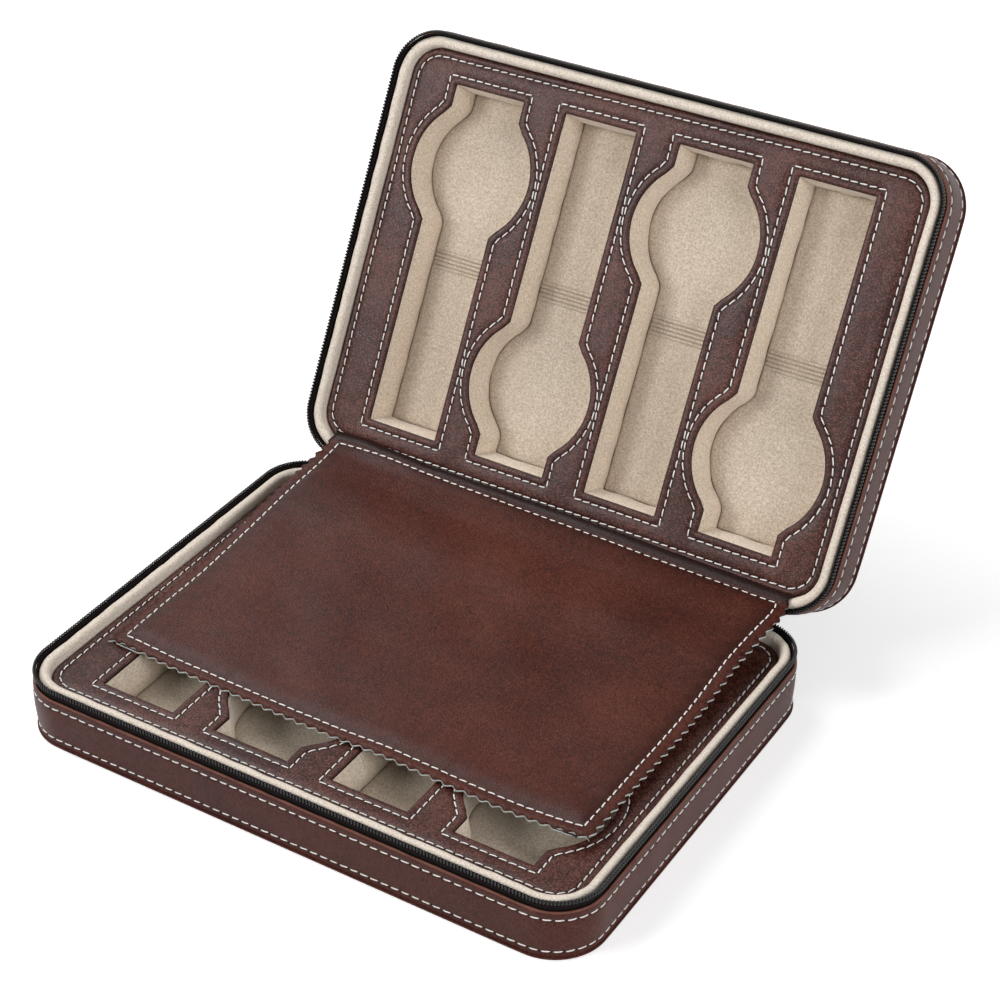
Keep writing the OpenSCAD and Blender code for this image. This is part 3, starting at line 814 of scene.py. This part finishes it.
def face_cover(seed):
    """Leatherette face: cut edges turned over slightly, pulled down along the stitching."""
    d = np.minimum(TO_RIM, TO_WELL)
    z = np.full(len(FACE_XY), FACE_Z)
    for dist, r, drop in ((TO_WELL, 0.45, 0.3), (TO_RIM, 1.3, 1.0)):
        e = np.clip(dist / r, 0, 1)
        z -= drop * (1 - np.sqrt(1 - (1 - e) ** 2))
    z -= 0.26 * np.exp(-((d - STITCH_IN) / 0.5) ** 2)
    z += 0.22 * np.sin(np.pi * np.clip(d / STITCH_IN, 0, 1)) - 0.08
    z += 0.20 * smooth_step(d, STITCH_IN, STITCH_IN + 4)
    z += 0.07 * wave_2d(*FACE_XY.T, seed, 9, 50)
    # Painted shade: darker in the stitch groove and at the cut edges.
    seam = np.exp(-((d - STITCH_IN) / 0.8) ** 2) + np.exp(-(d / 0.5) ** 2)
    return *closed_sheet(FACE_XY, FACE_TRIS, z, np.full(len(z), FOAM_TOP_Z + 0.02)), seam


WELL_LINE = well_corners(0.0)[0]


def well_wall(i, seed):
    """Soft lined wall: it leaves the cut edge, swells inwards and closes on the floor."""
    step = 0.8
    line = divided(WELL_LINE, step)
    rows = [(-0.95, -7.18, 0.0), (-0.05, -7.22, 0.0), (0.1, -7.5, 0.2), (0.3, -8.2, 0.4),
            (0.55, -9.3, 0.6), (0.85, -10.8, 0.9), (1.2, -12.5, 1.2), (1.55, -14.4, 1.5),
            (1.8, -16.4, 1.8), (1.9, -18.4, 1.9), (1.85, -20.2, 1.8), (1.65, -21.8, 1.6),
            (1.35, -23.2, 1.3), (1.05, -24.2, 1.1)]
    s = np.arange(len(line)) * step
    rings = []
    for swell, z, sigma in rows:
        soft = softened(line, sigma, step)
        n = outward(softened(line, max(sigma, 0.4), step))
        amount = swell * (1 + 0.10 * wave(s, seed, 12, 50)) + 0.10 * smooth_step(
            -abs(z + 16), -8, 0) * wave(s, seed + 7, 5, 16)
        xy = well_place(i, soft - n * np.asarray(amount)[:, None])
        rings.append(np.column_stack([xy, np.full(len(xy), z)]))
    return np.concatenate(rings), grid_faces(len(rings), len(line), wrap_columns=True)


PLEATS, PLEAT_PITCH = 5, 1.72
FLOOR_INSET = 1.15


def floor_shape():
    """Floor pad in the well's own frame, fine across the pleats at mid length, and the distance
    of its points from its edge."""
    line = softened(divided(well_corners(-FLOOR_INSET)[0], 0.9), 1.0, 0.9)
    step = 1.9
    grid = lattice(np.arange(-28, 28.1, step), np.arange(-76, 76.1, step))
    grid = np.concatenate([grid[np.abs(grid[:, 1]) > 5.6],
                           lattice(np.arange(-16, 16.1, 2.0), np.arange(-5.2, 5.21, 0.172))])
    grid = grid[inside(grid, line)]
    grid = grid[distances(grid, [line]) > 1.3]
    rings = [line - outward(line) * d for d in (0.25, 0.6, 1.05)]
    points, tris = fill(line, [], np.concatenate([*rings, grid]))
    return points, tris, distances(points, [line])


FLOOR_XY, FLOOR_TRIS, FLOOR_EDGE = floor_shape()


def well_floor(i, seed):
    """Crowned pad that dips to the walls, pleated across its middle."""
    x, y = FLOOR_XY.T
    e = np.clip(FLOOR_EDGE / 4.0, 0, 1)
    z = FLOOR_Z + 0.1 + 1.5 * np.sqrt(1 - (1 - e) ** 2)
    z += 0.10 * wave_2d(x, y, seed, 7, 40)
    half = PLEATS * PLEAT_PITCH / 2
    in_pleats = smooth_step(-np.abs(y), -half - 0.2, -half + 0.2)
    rib = np.abs(np.cos(np.pi * y / PLEAT_PITCH)) ** 0.7
    z += in_pleats * (1.1 * rib - 0.75) * smooth_step(FLOOR_EDGE, 0, 1.2)
    # Painted shade in the pleat valleys and along the pad's edge against the wall.
    fold = np.maximum(in_pleats * (1 - rib) ** 2, np.exp(-(FLOOR_EDGE / 0.9) ** 2) * 0.4)
    tris = FLOOR_TRIS if i % 2 else FLOOR_TRIS[:, ::-1]
    points, faces, _ = closed_sheet(well_place(i, FLOOR_XY), tris, z,
                                    np.full(len(z), FLOOR_Z + 0.02))
    return points, faces, fold


def set_values(obj, name, values):
    """An attribute of the points; the values of a sheet's first side serve both."""
    a = obj.data.attributes.new(name, "FLOAT", "POINT")
    values = np.resize(np.clip(values, 0, 1), len(obj.data.vertices))
    a.data.foreach_set("value", values.astype(np.float32))


def edge_material(obj, material, walls):
    """Gives the walls of a sheet, which are its last faces, a material of their own."""
    obj.data.materials.append(material)
    for polygon in obj.data.polygons[-walls:]:
        polygon.material_index = 1


def well_runs():
    """Stitch runs round each well, one for each stretch between two corners."""
    corners, breaks = well_corners(STITCH_IN)
    runs = []
    for i in WELLS:
        line = well_place(i, corners)
        for a, b in zip(breaks, breaks[1:] + [breaks[0] + len(corners)]):
            part = line[np.arange(a, b + 1) % len(line)]
            runs.append(flat_run(divided(part, 0.8, closed=False), FACE_Z - STITCH_SINK))
    return runs


def band_run(row):
    """Stitch run round the band at a height."""
    places = track_places(1.2)
    p, n = track(places)
    inset = BAND_IN + STITCH_SINK + skirt(row, places)
    return (np.column_stack([p - inset[:, None] * n, np.full(len(p), row)]),
            np.column_stack([n, np.zeros(len(p))]))


for half in HALVES:
    seed = 100 if half == "base" else 200
    points, faces = panel_cover()
    panel = add_mesh(half + "_panel_cover", place(points, half), faces, LEATHER)
    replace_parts(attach(panel, half), half + "_outer_panel")

    places = track_places(1.6)[:-1]
    points, faces = sweep(band_rows(places), places)
    band = add_mesh(half + "_band_cover", place(clear_of_sliders(points), half), faces, LEATHER)
    z = points[:, 2]
    # Painted shade in the grooves of the two stitch rows.
    set_values(band, "seam", sum(np.exp(-((z - row) / 0.7) ** 2) for row in BAND_ROWS))
    # Painted highlight on the band's turned-over upper lip.
    set_values(band, "lip_highlight", smooth_step(z, -6.1, -5.6))
    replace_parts(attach(band, half), half + "_side_band")

    chain = BASE_CHAIN_END if half == "base" else LID_CHAIN_END
    ends = (chain, 2 * HALF_LEN - chain)
    places = track_places(1.6, *ends)
    rows = repeated(TAPE_PROFILE, places)
    points, faces = sweep(rows, places, closed=False)
    last = (len(rows) - 1) * len(places)
    bottom = [(j, j + 1, last + j + 1, last + j) for j in range(len(places) - 1)]
    uv = np.column_stack([np.tile(places, len(rows)), points[:, 2]]) / 1000
    tape = add_mesh(half + "_tape_weave", place(points, half),
                    [*faces, *bottom, *end_caps(rows, places)], TAPE, uv)
    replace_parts(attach(tape, half), half + "_zip_tape")

    points, faces = coil_teeth(*ends)
    teeth = add_mesh(half + "_coil_teeth", place(points, half), faces, NYLON)
    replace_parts(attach(teeth, half), half + "_zip_coil")
    points, faces = coil_core(*ends)
    core = add_mesh(half + "_coil_core", place(points, half), faces, TAPE)
    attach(core, half)

    places = track_places(1.4)[:-1]
    points, faces = sweep(rim_rows(places), places)
    rim = add_mesh(half + "_velvet_rim", place(clear_of_sliders(points), half), faces, RIM_VELVET)
    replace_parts(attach(rim, half), half + "_rim_velvet")

    points, faces, walls, seam = face_cover(seed)
    cover = add_mesh(half + "_face_cover", place(points, half), faces, FACE_LEATHER)
    # Its cut edges: the dark edge colour and painted shadow of the gap.
    edge_material(cover, RAW_EDGE_AND_SHADE, walls)
    set_values(cover, "seam", seam)
    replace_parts(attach(cover, half), half + "_face_leather")

    for i in WELLS:
        points, faces = well_wall(i, seed + 10 * i)
        wall = add_mesh(f"{half}_well_wall_{i}", place(points, half), faces, VELVET)
        # Painted shade at the wall's foot, in the crease with the floor.
        set_values(wall, "fold", 0.4 * np.exp(-((points[:, 2] + 24.2) / 1.1) ** 2))
        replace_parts(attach(wall, half), f"{half}_well_lining_{i}")
        points, faces, fold = well_floor(i, seed + 10 * i + 5)
        pad = add_mesh(f"{half}_well_floor_{i}", place(points, half), faces, VELVET)
        set_values(pad, "fold", fold)
        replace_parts(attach(pad, half), f"{half}_well_pad_{i}")

    border = tray_outline(FACE_IN + STITCH_IN, 1.0)
    border = np.concatenate([border, border[:1]])
    face_seams = sew([flat_run(border, FACE_Z - STITCH_SINK), *well_runs()], PITCH, *FACE_STITCH,
                     seed)
    band_seams = sew([band_run(row) for row in BAND_ROWS], BAND_PITCH, *BAND_STITCH, seed + 1)
    for obj in stitching(half, half, face_seams, band_seams):
        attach(obj, half)

# ---------------------------------------------------------------- flap
FLAP_W, FLAP_LEN, FLAP_SEAM, PINK_PITCH, PINK_DEPTH = 224.0, 162.6, 5.8, 5.2, 2.1
SKIN, SUEDE_T = 0.45, 0.8
HEM = 4.6                                     # from the rear edge to the rear stitch line
STITCH_HALF_W = FLAP_W / 2 - FLAP_SEAM
LID_DIR = np.array([math.cos(math.radians(LID_OPEN)), math.sin(math.radians(LID_OPEN))])
LID_UP = np.array([LID_DIR[1], -LID_DIR[0]])


def on_lid(t, c):
    """(b, c) of the base tray, b = -y, for t along the lid and c above its closing plane."""
    return np.asarray(t)[..., None] * LID_DIR + np.asarray(c)[..., None] * LID_UP


# The flap's two sides at its stitch lines, from the rear stitch to the front one: across, towards
# the front and up. It hangs like a tent from the lid's rim to the base's face.
LEFT_SIDE = [
    (-105.9, 3.6, 6.7), (-106.0, 13.6, 5.6), (-106.1, 26.2, 4.6), (-106.3, 38.6, 3.5),
    (-106.4, 49.3, 2.2), (-106.5, 63.0, 0.8), (-106.7, 77.4, -0.5), (-106.9, 95.6, -1.8),
    (-107.1, 116.2, -2.5), (-107.2, 130.6, -3.1), (-107.4, 145.1, -3.5)]
RIGHT_SIDE = [
    (108.7, -0.3, 6.1), (109.1, 4.9, 5.9), (108.9, 9.0, 5.8), (108.4, 13.5, 5.5),
    (107.9, 18.8, 5.0), (107.5, 24.0, 4.7), (107.2, 30.9, 4.3), (106.9, 39.4, 3.8),
    (106.9, 50.0, 2.4), (107.0, 63.5, 1.1), (107.0, 82.1, 0.4), (106.7, 99.7, -0.1),
    (106.3, 116.6, -0.2), (106.0, 133.6, -0.4), (105.9, 149.6, -0.3)]
# Rear stitch line on the lid: across, and distance from the fold line
REAR_LINE = [(-112, 9.0), (-106, 9.25), (-98, 9.8), (-86, 10.3), (-75, 10.0), (-63, 9.3),
             (-52, 9.0), (-28, 8.6), (-15, 8.3), (31, 7.7), (48, 7.2), (68, 6.9), (86, 6.7),
             (98, 6.4), (107, 6.6), (112, 6.7)]
REAR_C = -0.1                                 # its height above the lid's closing plane
# Front stitch line: across, and how far it sags below the straight line between its corners
FRONT_SAG = [(-112, 0), (-106, 0), (-90, 0.7), (-78, 1.2), (-60, 1.8), (-42, 2.4), (-28, 2.5),
             (-17, 2.2), (0, 2.0), (11, 1.6), (21, 1.2), (33, 1.5), (43, 2.0), (52, 2.6),
             (61, 2.8), (79, 2.8), (89, 2.2), (98, 1.4), (106, 0), (112, -0.3)]


def smoothed(table, at, sigma):
    """A table's value at the given places, softened by a Gaussian."""
    table = np.array(table, float)
    u = np.linspace(-3, 3, 25)
    w = np.exp(-u * u / 2)
    return sum(k * np.interp(np.asarray(at) + sigma * t, *table.T) for k, t in zip(w, u)) / w.sum()


def side_line(points):
    """A side from the rear stitch on, by length: rows of across, front, up, from v = HEM."""
    points = np.array(points, float)
    s = np.concatenate([[0], np.cumsum(np.linalg.norm(np.diff(points, axis=0), axis=1))])
    v = HEM + s / s[-1] * (FLAP_LEN - FLAP_SEAM - HEM)
    slope = (points[-1] - points[-3]) / (v[-1] - v[-3])
    points = np.concatenate([points, [points[-1] + slope * (FLAP_LEN - v[-1] + 9)]])
    v = np.append(v, FLAP_LEN + 9)
    return [np.column_stack([v, points[:, k]]) for k in range(3)]


def rear_t(side):
    """Distance from the fold line of the rear stitch line's end on one side, -1 or 1."""
    return np.interp(side * STITCH_HALF_W, *np.array(REAR_LINE).T)


def rear_point(side):
    shift = 0.4 if side < 0 else 1.4
    return (side * STITCH_HALF_W + shift, *on_lid(rear_t(side), REAR_C))


SIDES = [side_line([rear_point(-1), *LEFT_SIDE]), side_line([rear_point(1), *RIGHT_SIDE])]


def flap_middle(a, v):
    """Middle surface of the flap: a across, v from its rear edge along it; in the base tray's
    frame."""
    a, v = np.broadcast_arrays(np.asarray(a, float), np.asarray(v, float))
    share = (a / STITCH_HALF_W + 1) / 2
    ahead = np.maximum(v, HEM)
    left, right = ([smoothed(line, ahead, 2.0) for line in side] for side in SIDES)
    x, b, c = ((1 - share) * l + share * r for l, r in zip(left, right))
    # It sags in the middle, along its front edge and behind, and lies on the face
    front = smooth_step(v, 60, FLAP_LEN - 8)
    across = np.clip(1 - (a / STITCH_HALF_W) ** 2, 0, 1)
    c = c - front * smoothed(FRONT_SAG, a, 3.0)
    c = c - (1 - front) * (1.7 * across ** 0.7) * smooth_step(v, HEM, HEM + 22)
    c = c + 0.25 * wave_2d(a, v, 31, 28, 90) * smooth_step(v, 14, 40)
    left_edge = smooth_step(-a, STITCH_HALF_W, FLAP_W / 2) * smooth_step(v, 50, 90)
    c = np.maximum(c - SKIN - 1.0 * left_edge, FACE_Z + 0.95)
    # Near its rear stitch line it follows that line on the lid
    t, height = smoothed(REAR_LINE, a, 3.0), REAR_C - SKIN
    near = 1 - smooth_step(v, HEM, HEM + 7)
    straight = on_lid((1 - share) * rear_t(-1) + share * rear_t(1), height)
    bc = np.stack([b, c], -1) + near[..., None] * (on_lid(t, height) - straight)
    # Behind the line it goes down between the rim and the face
    u = np.clip((HEM - v) / HEM, 0, 1)
    reach = np.clip(11.4 - t, 2.0, 3.4) + smooth_step(-a, 84, 98)
    hem = on_lid(t + reach * (1 - (1 - u) ** 1.5), height - 4.2 * u ** 1.7)
    bc = np.where((v < HEM)[..., None], hem, bc)
    return np.stack([x, -bc[..., 0], bc[..., 1]], -1)


def flap_normal(a, v):
    """Its normal on the upper side."""
    h = 0.5
    da = flap_middle(a + h, v) - flap_middle(a - h, v)
    dv = flap_middle(a, v + h) - flap_middle(a, v - h)
    n = np.cross(dv, da)
    n /= np.linalg.norm(n, axis=-1, keepdims=True)
    return n * np.where(n[..., 2:] < 0, -1, 1)


def pinked_outline():
    """Flat outline of the flap: pinked at the sides and the front, straight at the rear."""
    side_teeth = round(FLAP_LEN / PINK_PITCH)
    front_teeth = round(FLAP_W / PINK_PITCH)
    sv = np.arange(2 * side_teeth + 1) * FLAP_LEN / (2 * side_teeth)
    right = [(FLAP_W / 2 - (i % 2) * PINK_DEPTH, v) for i, v in enumerate(sv)]
    fa = FLAP_W / 2 - np.arange(1, 2 * front_teeth) * FLAP_W / (2 * front_teeth)
    front = [(a, FLAP_LEN - ((i + 1) % 2) * PINK_DEPTH) for i, a in enumerate(fa)]
    left = [(-a, v) for a, v in right[::-1]]
    step = 0.65
    line = divided(np.array([*right, *front, *left]), step)
    soft = softened(line, 0.7, step)
    return np.where(line[:, 1:] < 2, line, soft)


def in_stitch(a, v):
    """Distance inside the rectangle of the flap's stitch line, negative outside it."""
    return np.minimum.reduce([STITCH_HALF_W - np.abs(a), FLAP_LEN - FLAP_SEAM - v, v - HEM])


def flap_flat():
    """Flat points and triangles of the flap, finer along its stitch lines."""
    outline = pinked_outline()
    step = 2.2
    grid = lattice(np.arange(-110, 110.1, step), np.arange(1, FLAP_LEN - 1, step), step / 2)
    d = in_stitch(*grid.T)
    grid = grid[(d > 2.2) | (d < -1.6)]
    grid = grid[inside(grid, outline)]
    grid = grid[distances(grid, [outline]) > 0.9]
    near = []
    for k in (-1.1, -0.6, -0.25, 0.0, 0.25, 0.6, 1.1, 1.7):
        x, low, high = STITCH_HALF_W - k, HEM + k, FLAP_LEN - FLAP_SEAM - k
        near.append(divided([(x, low), (x, high), (-x, high), (-x, low)], 1.6))
    return fill(outline, [], np.concatenate([grid, *near]))


def puff(a, v):
    """How far the padding lifts the face above its flat seam."""
    d = np.maximum(in_stitch(a, v), 0)
    behind = np.maximum(v - HEM, 0)
    ahead = np.maximum(np.minimum(STITCH_HALF_W - np.abs(a), FLAP_LEN - FLAP_SEAM - v), 0)
    rear = 1 - np.exp(-behind / 16)
    body = 1.6 * (1 - np.exp(-ahead / 3.6)) * rear + 0.35 * smooth_step(d, 4, 45)
    pucker = 0.16 * np.exp(-d / 7) * smooth_step(d, 0, 2) * (wave(a, 41, 7, 22)
                                                             + wave(v, 42, 7, 22))
    return body + rear * (pucker + 0.10 * smooth_step(d, 3, 15) * wave_2d(a, v, 43, 18, 80))


def flap_surface(a, v, offset):
    return flap_middle(a, v) + flap_normal(a, v) * np.asarray(offset)[..., None]


FLAP_AV, FLAP_TRIS = flap_flat()
a, v = FLAP_AV.T
d = in_stitch(a, v)
face_low = flap_surface(a, v, np.zeros(len(a)))
face_top = flap_surface(a, v, SKIN + puff(a, v) - 0.18 * np.exp(-(d / 0.45) ** 2))
points, faces, _ = two_sided(face_top, face_low, FLAP_TRIS)
flap = add_mesh("flap_leather", place(points, "base"), faces, FLAP_LEATHER)
# Painted shade: dark over the hem behind the rear stitch line, along the stitch lines, at the cut
# edge and where the padding turns down inside the stitching.
seam = (1.3 * smooth_step(-v, -HEM - 0.2, -HEM + 0.8) + 0.8 * np.exp(-(d / 1.1) ** 2)
        + np.exp(-(np.maximum(-d, 0) - FLAP_SEAM) ** 2 / 1.5)
        + (1.0 + 0.3 * wave(a + v, 44, 6, 18)) * smooth_step(d, 0.2, 1.2)
        * np.exp(-np.maximum(d - 1.5, 0) / 4.5))
set_values(flap, "seam", seam)
# Painted shadow: near-black over the rear hem, in the groove against the lid's face.
set_values(flap, "groove", smooth_step(-v, -HEM + 0.2, -HEM + 1.4))

# The suede is thinner behind, where the flap bends
suede_t = SUEDE_T * (0.2 + 0.8 * smooth_step(v, 10, 26)) + 0.35 * smooth_step(d, 12, 26)
suede_low = flap_surface(a, v, -suede_t)
points, faces, walls = two_sided(face_low - flap_normal(a, v) * 0.02, suede_low, FLAP_TRIS)
suede = add_mesh("flap_suede", place(points, "base"), faces, SUEDE)
edge_material(suede, CUT_EDGE, walls)


def flap_runs():
    x, low, high = STITCH_HALF_W, HEM, FLAP_LEN - FLAP_SEAM
    corners = [(x, low), (x, high), (-x, high), (-x, low)]
    runs = []
    for p, q in zip(corners, corners[1:] + corners[:1]):
        line = divided([p, q], 0.8, closed=False)
        runs.append((flap_surface(line[:, 0], line[:, 1], np.full(len(line), SKIN - STITCH_SINK)),
                     flap_normal(line[:, 0], line[:, 1])))
    return runs


seams = stitching("flap", "base", sew(flap_runs(), PITCH, *FLAP_STITCH, 7))
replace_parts(flap, "flap_face", "flap_padding", "flap_hem")
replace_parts(suede, "flap_backing")
for piece in (flap, suede, *seams):
    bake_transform(piece)

# ---------------------------------------------------------------- spine, sliders, inner nodes
def finished(node, material, bevel=None):
    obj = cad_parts[node]
    obj.data.materials.clear()
    obj.data.materials.append(material)
    if bevel:
        m = obj.modifiers.new("edges", "BEVEL")
        m.width = bevel
        m.segments = 2
        m.limit_method = "ANGLE"
        m.angle_limit = math.radians(35)


for half in HALVES:
    finished(half + "_panel_board", BOARD)
    finished(half + "_side_board", BOARD)
    finished(half + "_rim_board", BOARD)
    finished(half + "_foam_insert", FOAM)
    finished(half + "_spine_strip", LEATHER)
finished("fold_bead", LEATHER)
for side in ("left", "right"):
    finished(side + "_slider", METAL, 0.00015)
    finished(side + "_pull", METAL, 0.00015)

# ---------------------------------------------------------------- studio
WHITE = (1, 1, 1, 1)
FLOOR_HALF = 3.0
DOME = (0.12, 0.20)                           # the sky's light, at the horizon and overhead

m = Nodes("floor")
tone = m.ramp(m.noise(3.0, 2), (0.3, (0.80, 0.80, 0.80, 1)), (0.7, (0.82, 0.82, 0.82, 1)))
diffuse = m.node("BsdfDiffuse", {"Color": tone})
away = m.node("VectorMath", {0: m.coords.outputs["Object"]}, operation="LENGTH")
level = m.spread(away.outputs["Value"], 0.35, 1.5, 0.52, 1.0)   # white at a distance too
glow = m.node("Emission", {"Color": WHITE, "Strength": m.math("MULTIPLY", m.seen(), level)})
both = m.node("AddShader", {0: diffuse.outputs[0], 1: glow.outputs[0]})
m.tree.links.new(both.outputs[0], m.tree.nodes["Material Output"].inputs["Surface"])
floor = add_mesh("floor", [(-FLOOR_HALF, -FLOOR_HALF, 0), (FLOOR_HALF, -FLOOR_HALF, 0),
                           (FLOOR_HALF, FLOOR_HALF, 0), (-FLOOR_HALF, FLOOR_HALF, 0)],
                 [(0, 1, 2, 3)], m.material)

w = Nodes("studio", bpy.data.worlds.new("studio"))
scene.world = w.material
up = w.node("SeparateXYZ", {0: w.coords.outputs["Generated"]}).outputs["Z"]
dome = w.wire(w.tree.nodes["Background"], {"Color": WHITE,
                                           "Strength": w.spread(up, 0.0, 1.0, *DOME)})
backdrop = w.node("Background", {"Color": WHITE, "Strength": 1.0})
either = w.node("MixShader", {0: w.seen(), 1: dome.outputs[0], 2: backdrop.outputs[0]})
w.tree.links.new(either.outputs[0], w.tree.nodes["World Output"].inputs["Surface"])


def softbox(name, at, towards, width, height, watts):
    data = bpy.data.lights.new(name, "AREA")
    data.shape = "RECTANGLE"
    data.size, data.size_y = width, height
    data.energy = watts
    lamp = bpy.data.objects.new(name, data)
    scene.collection.objects.link(lamp)
    lamp.location = at
    lamp.rotation_euler = (Vector(towards) - Vector(at)).to_track_quat("-Z", "Y").to_euler()
    return lamp


softbox("key", (-0.78, 0.20, 1.26), (0, 0.03, 0.05), 0.9, 0.8, 11.5)
softbox("right", (1.25, -0.45, 0.75), (0, 0.08, 0.08), 0.9, 0.7, 11.5)
softbox("front", (-1.26, -1.73, 1.27), (-0.05, 0.15, 0.15), 0.8, 0.6, 24)

scene.view_settings.view_transform = "Standard"
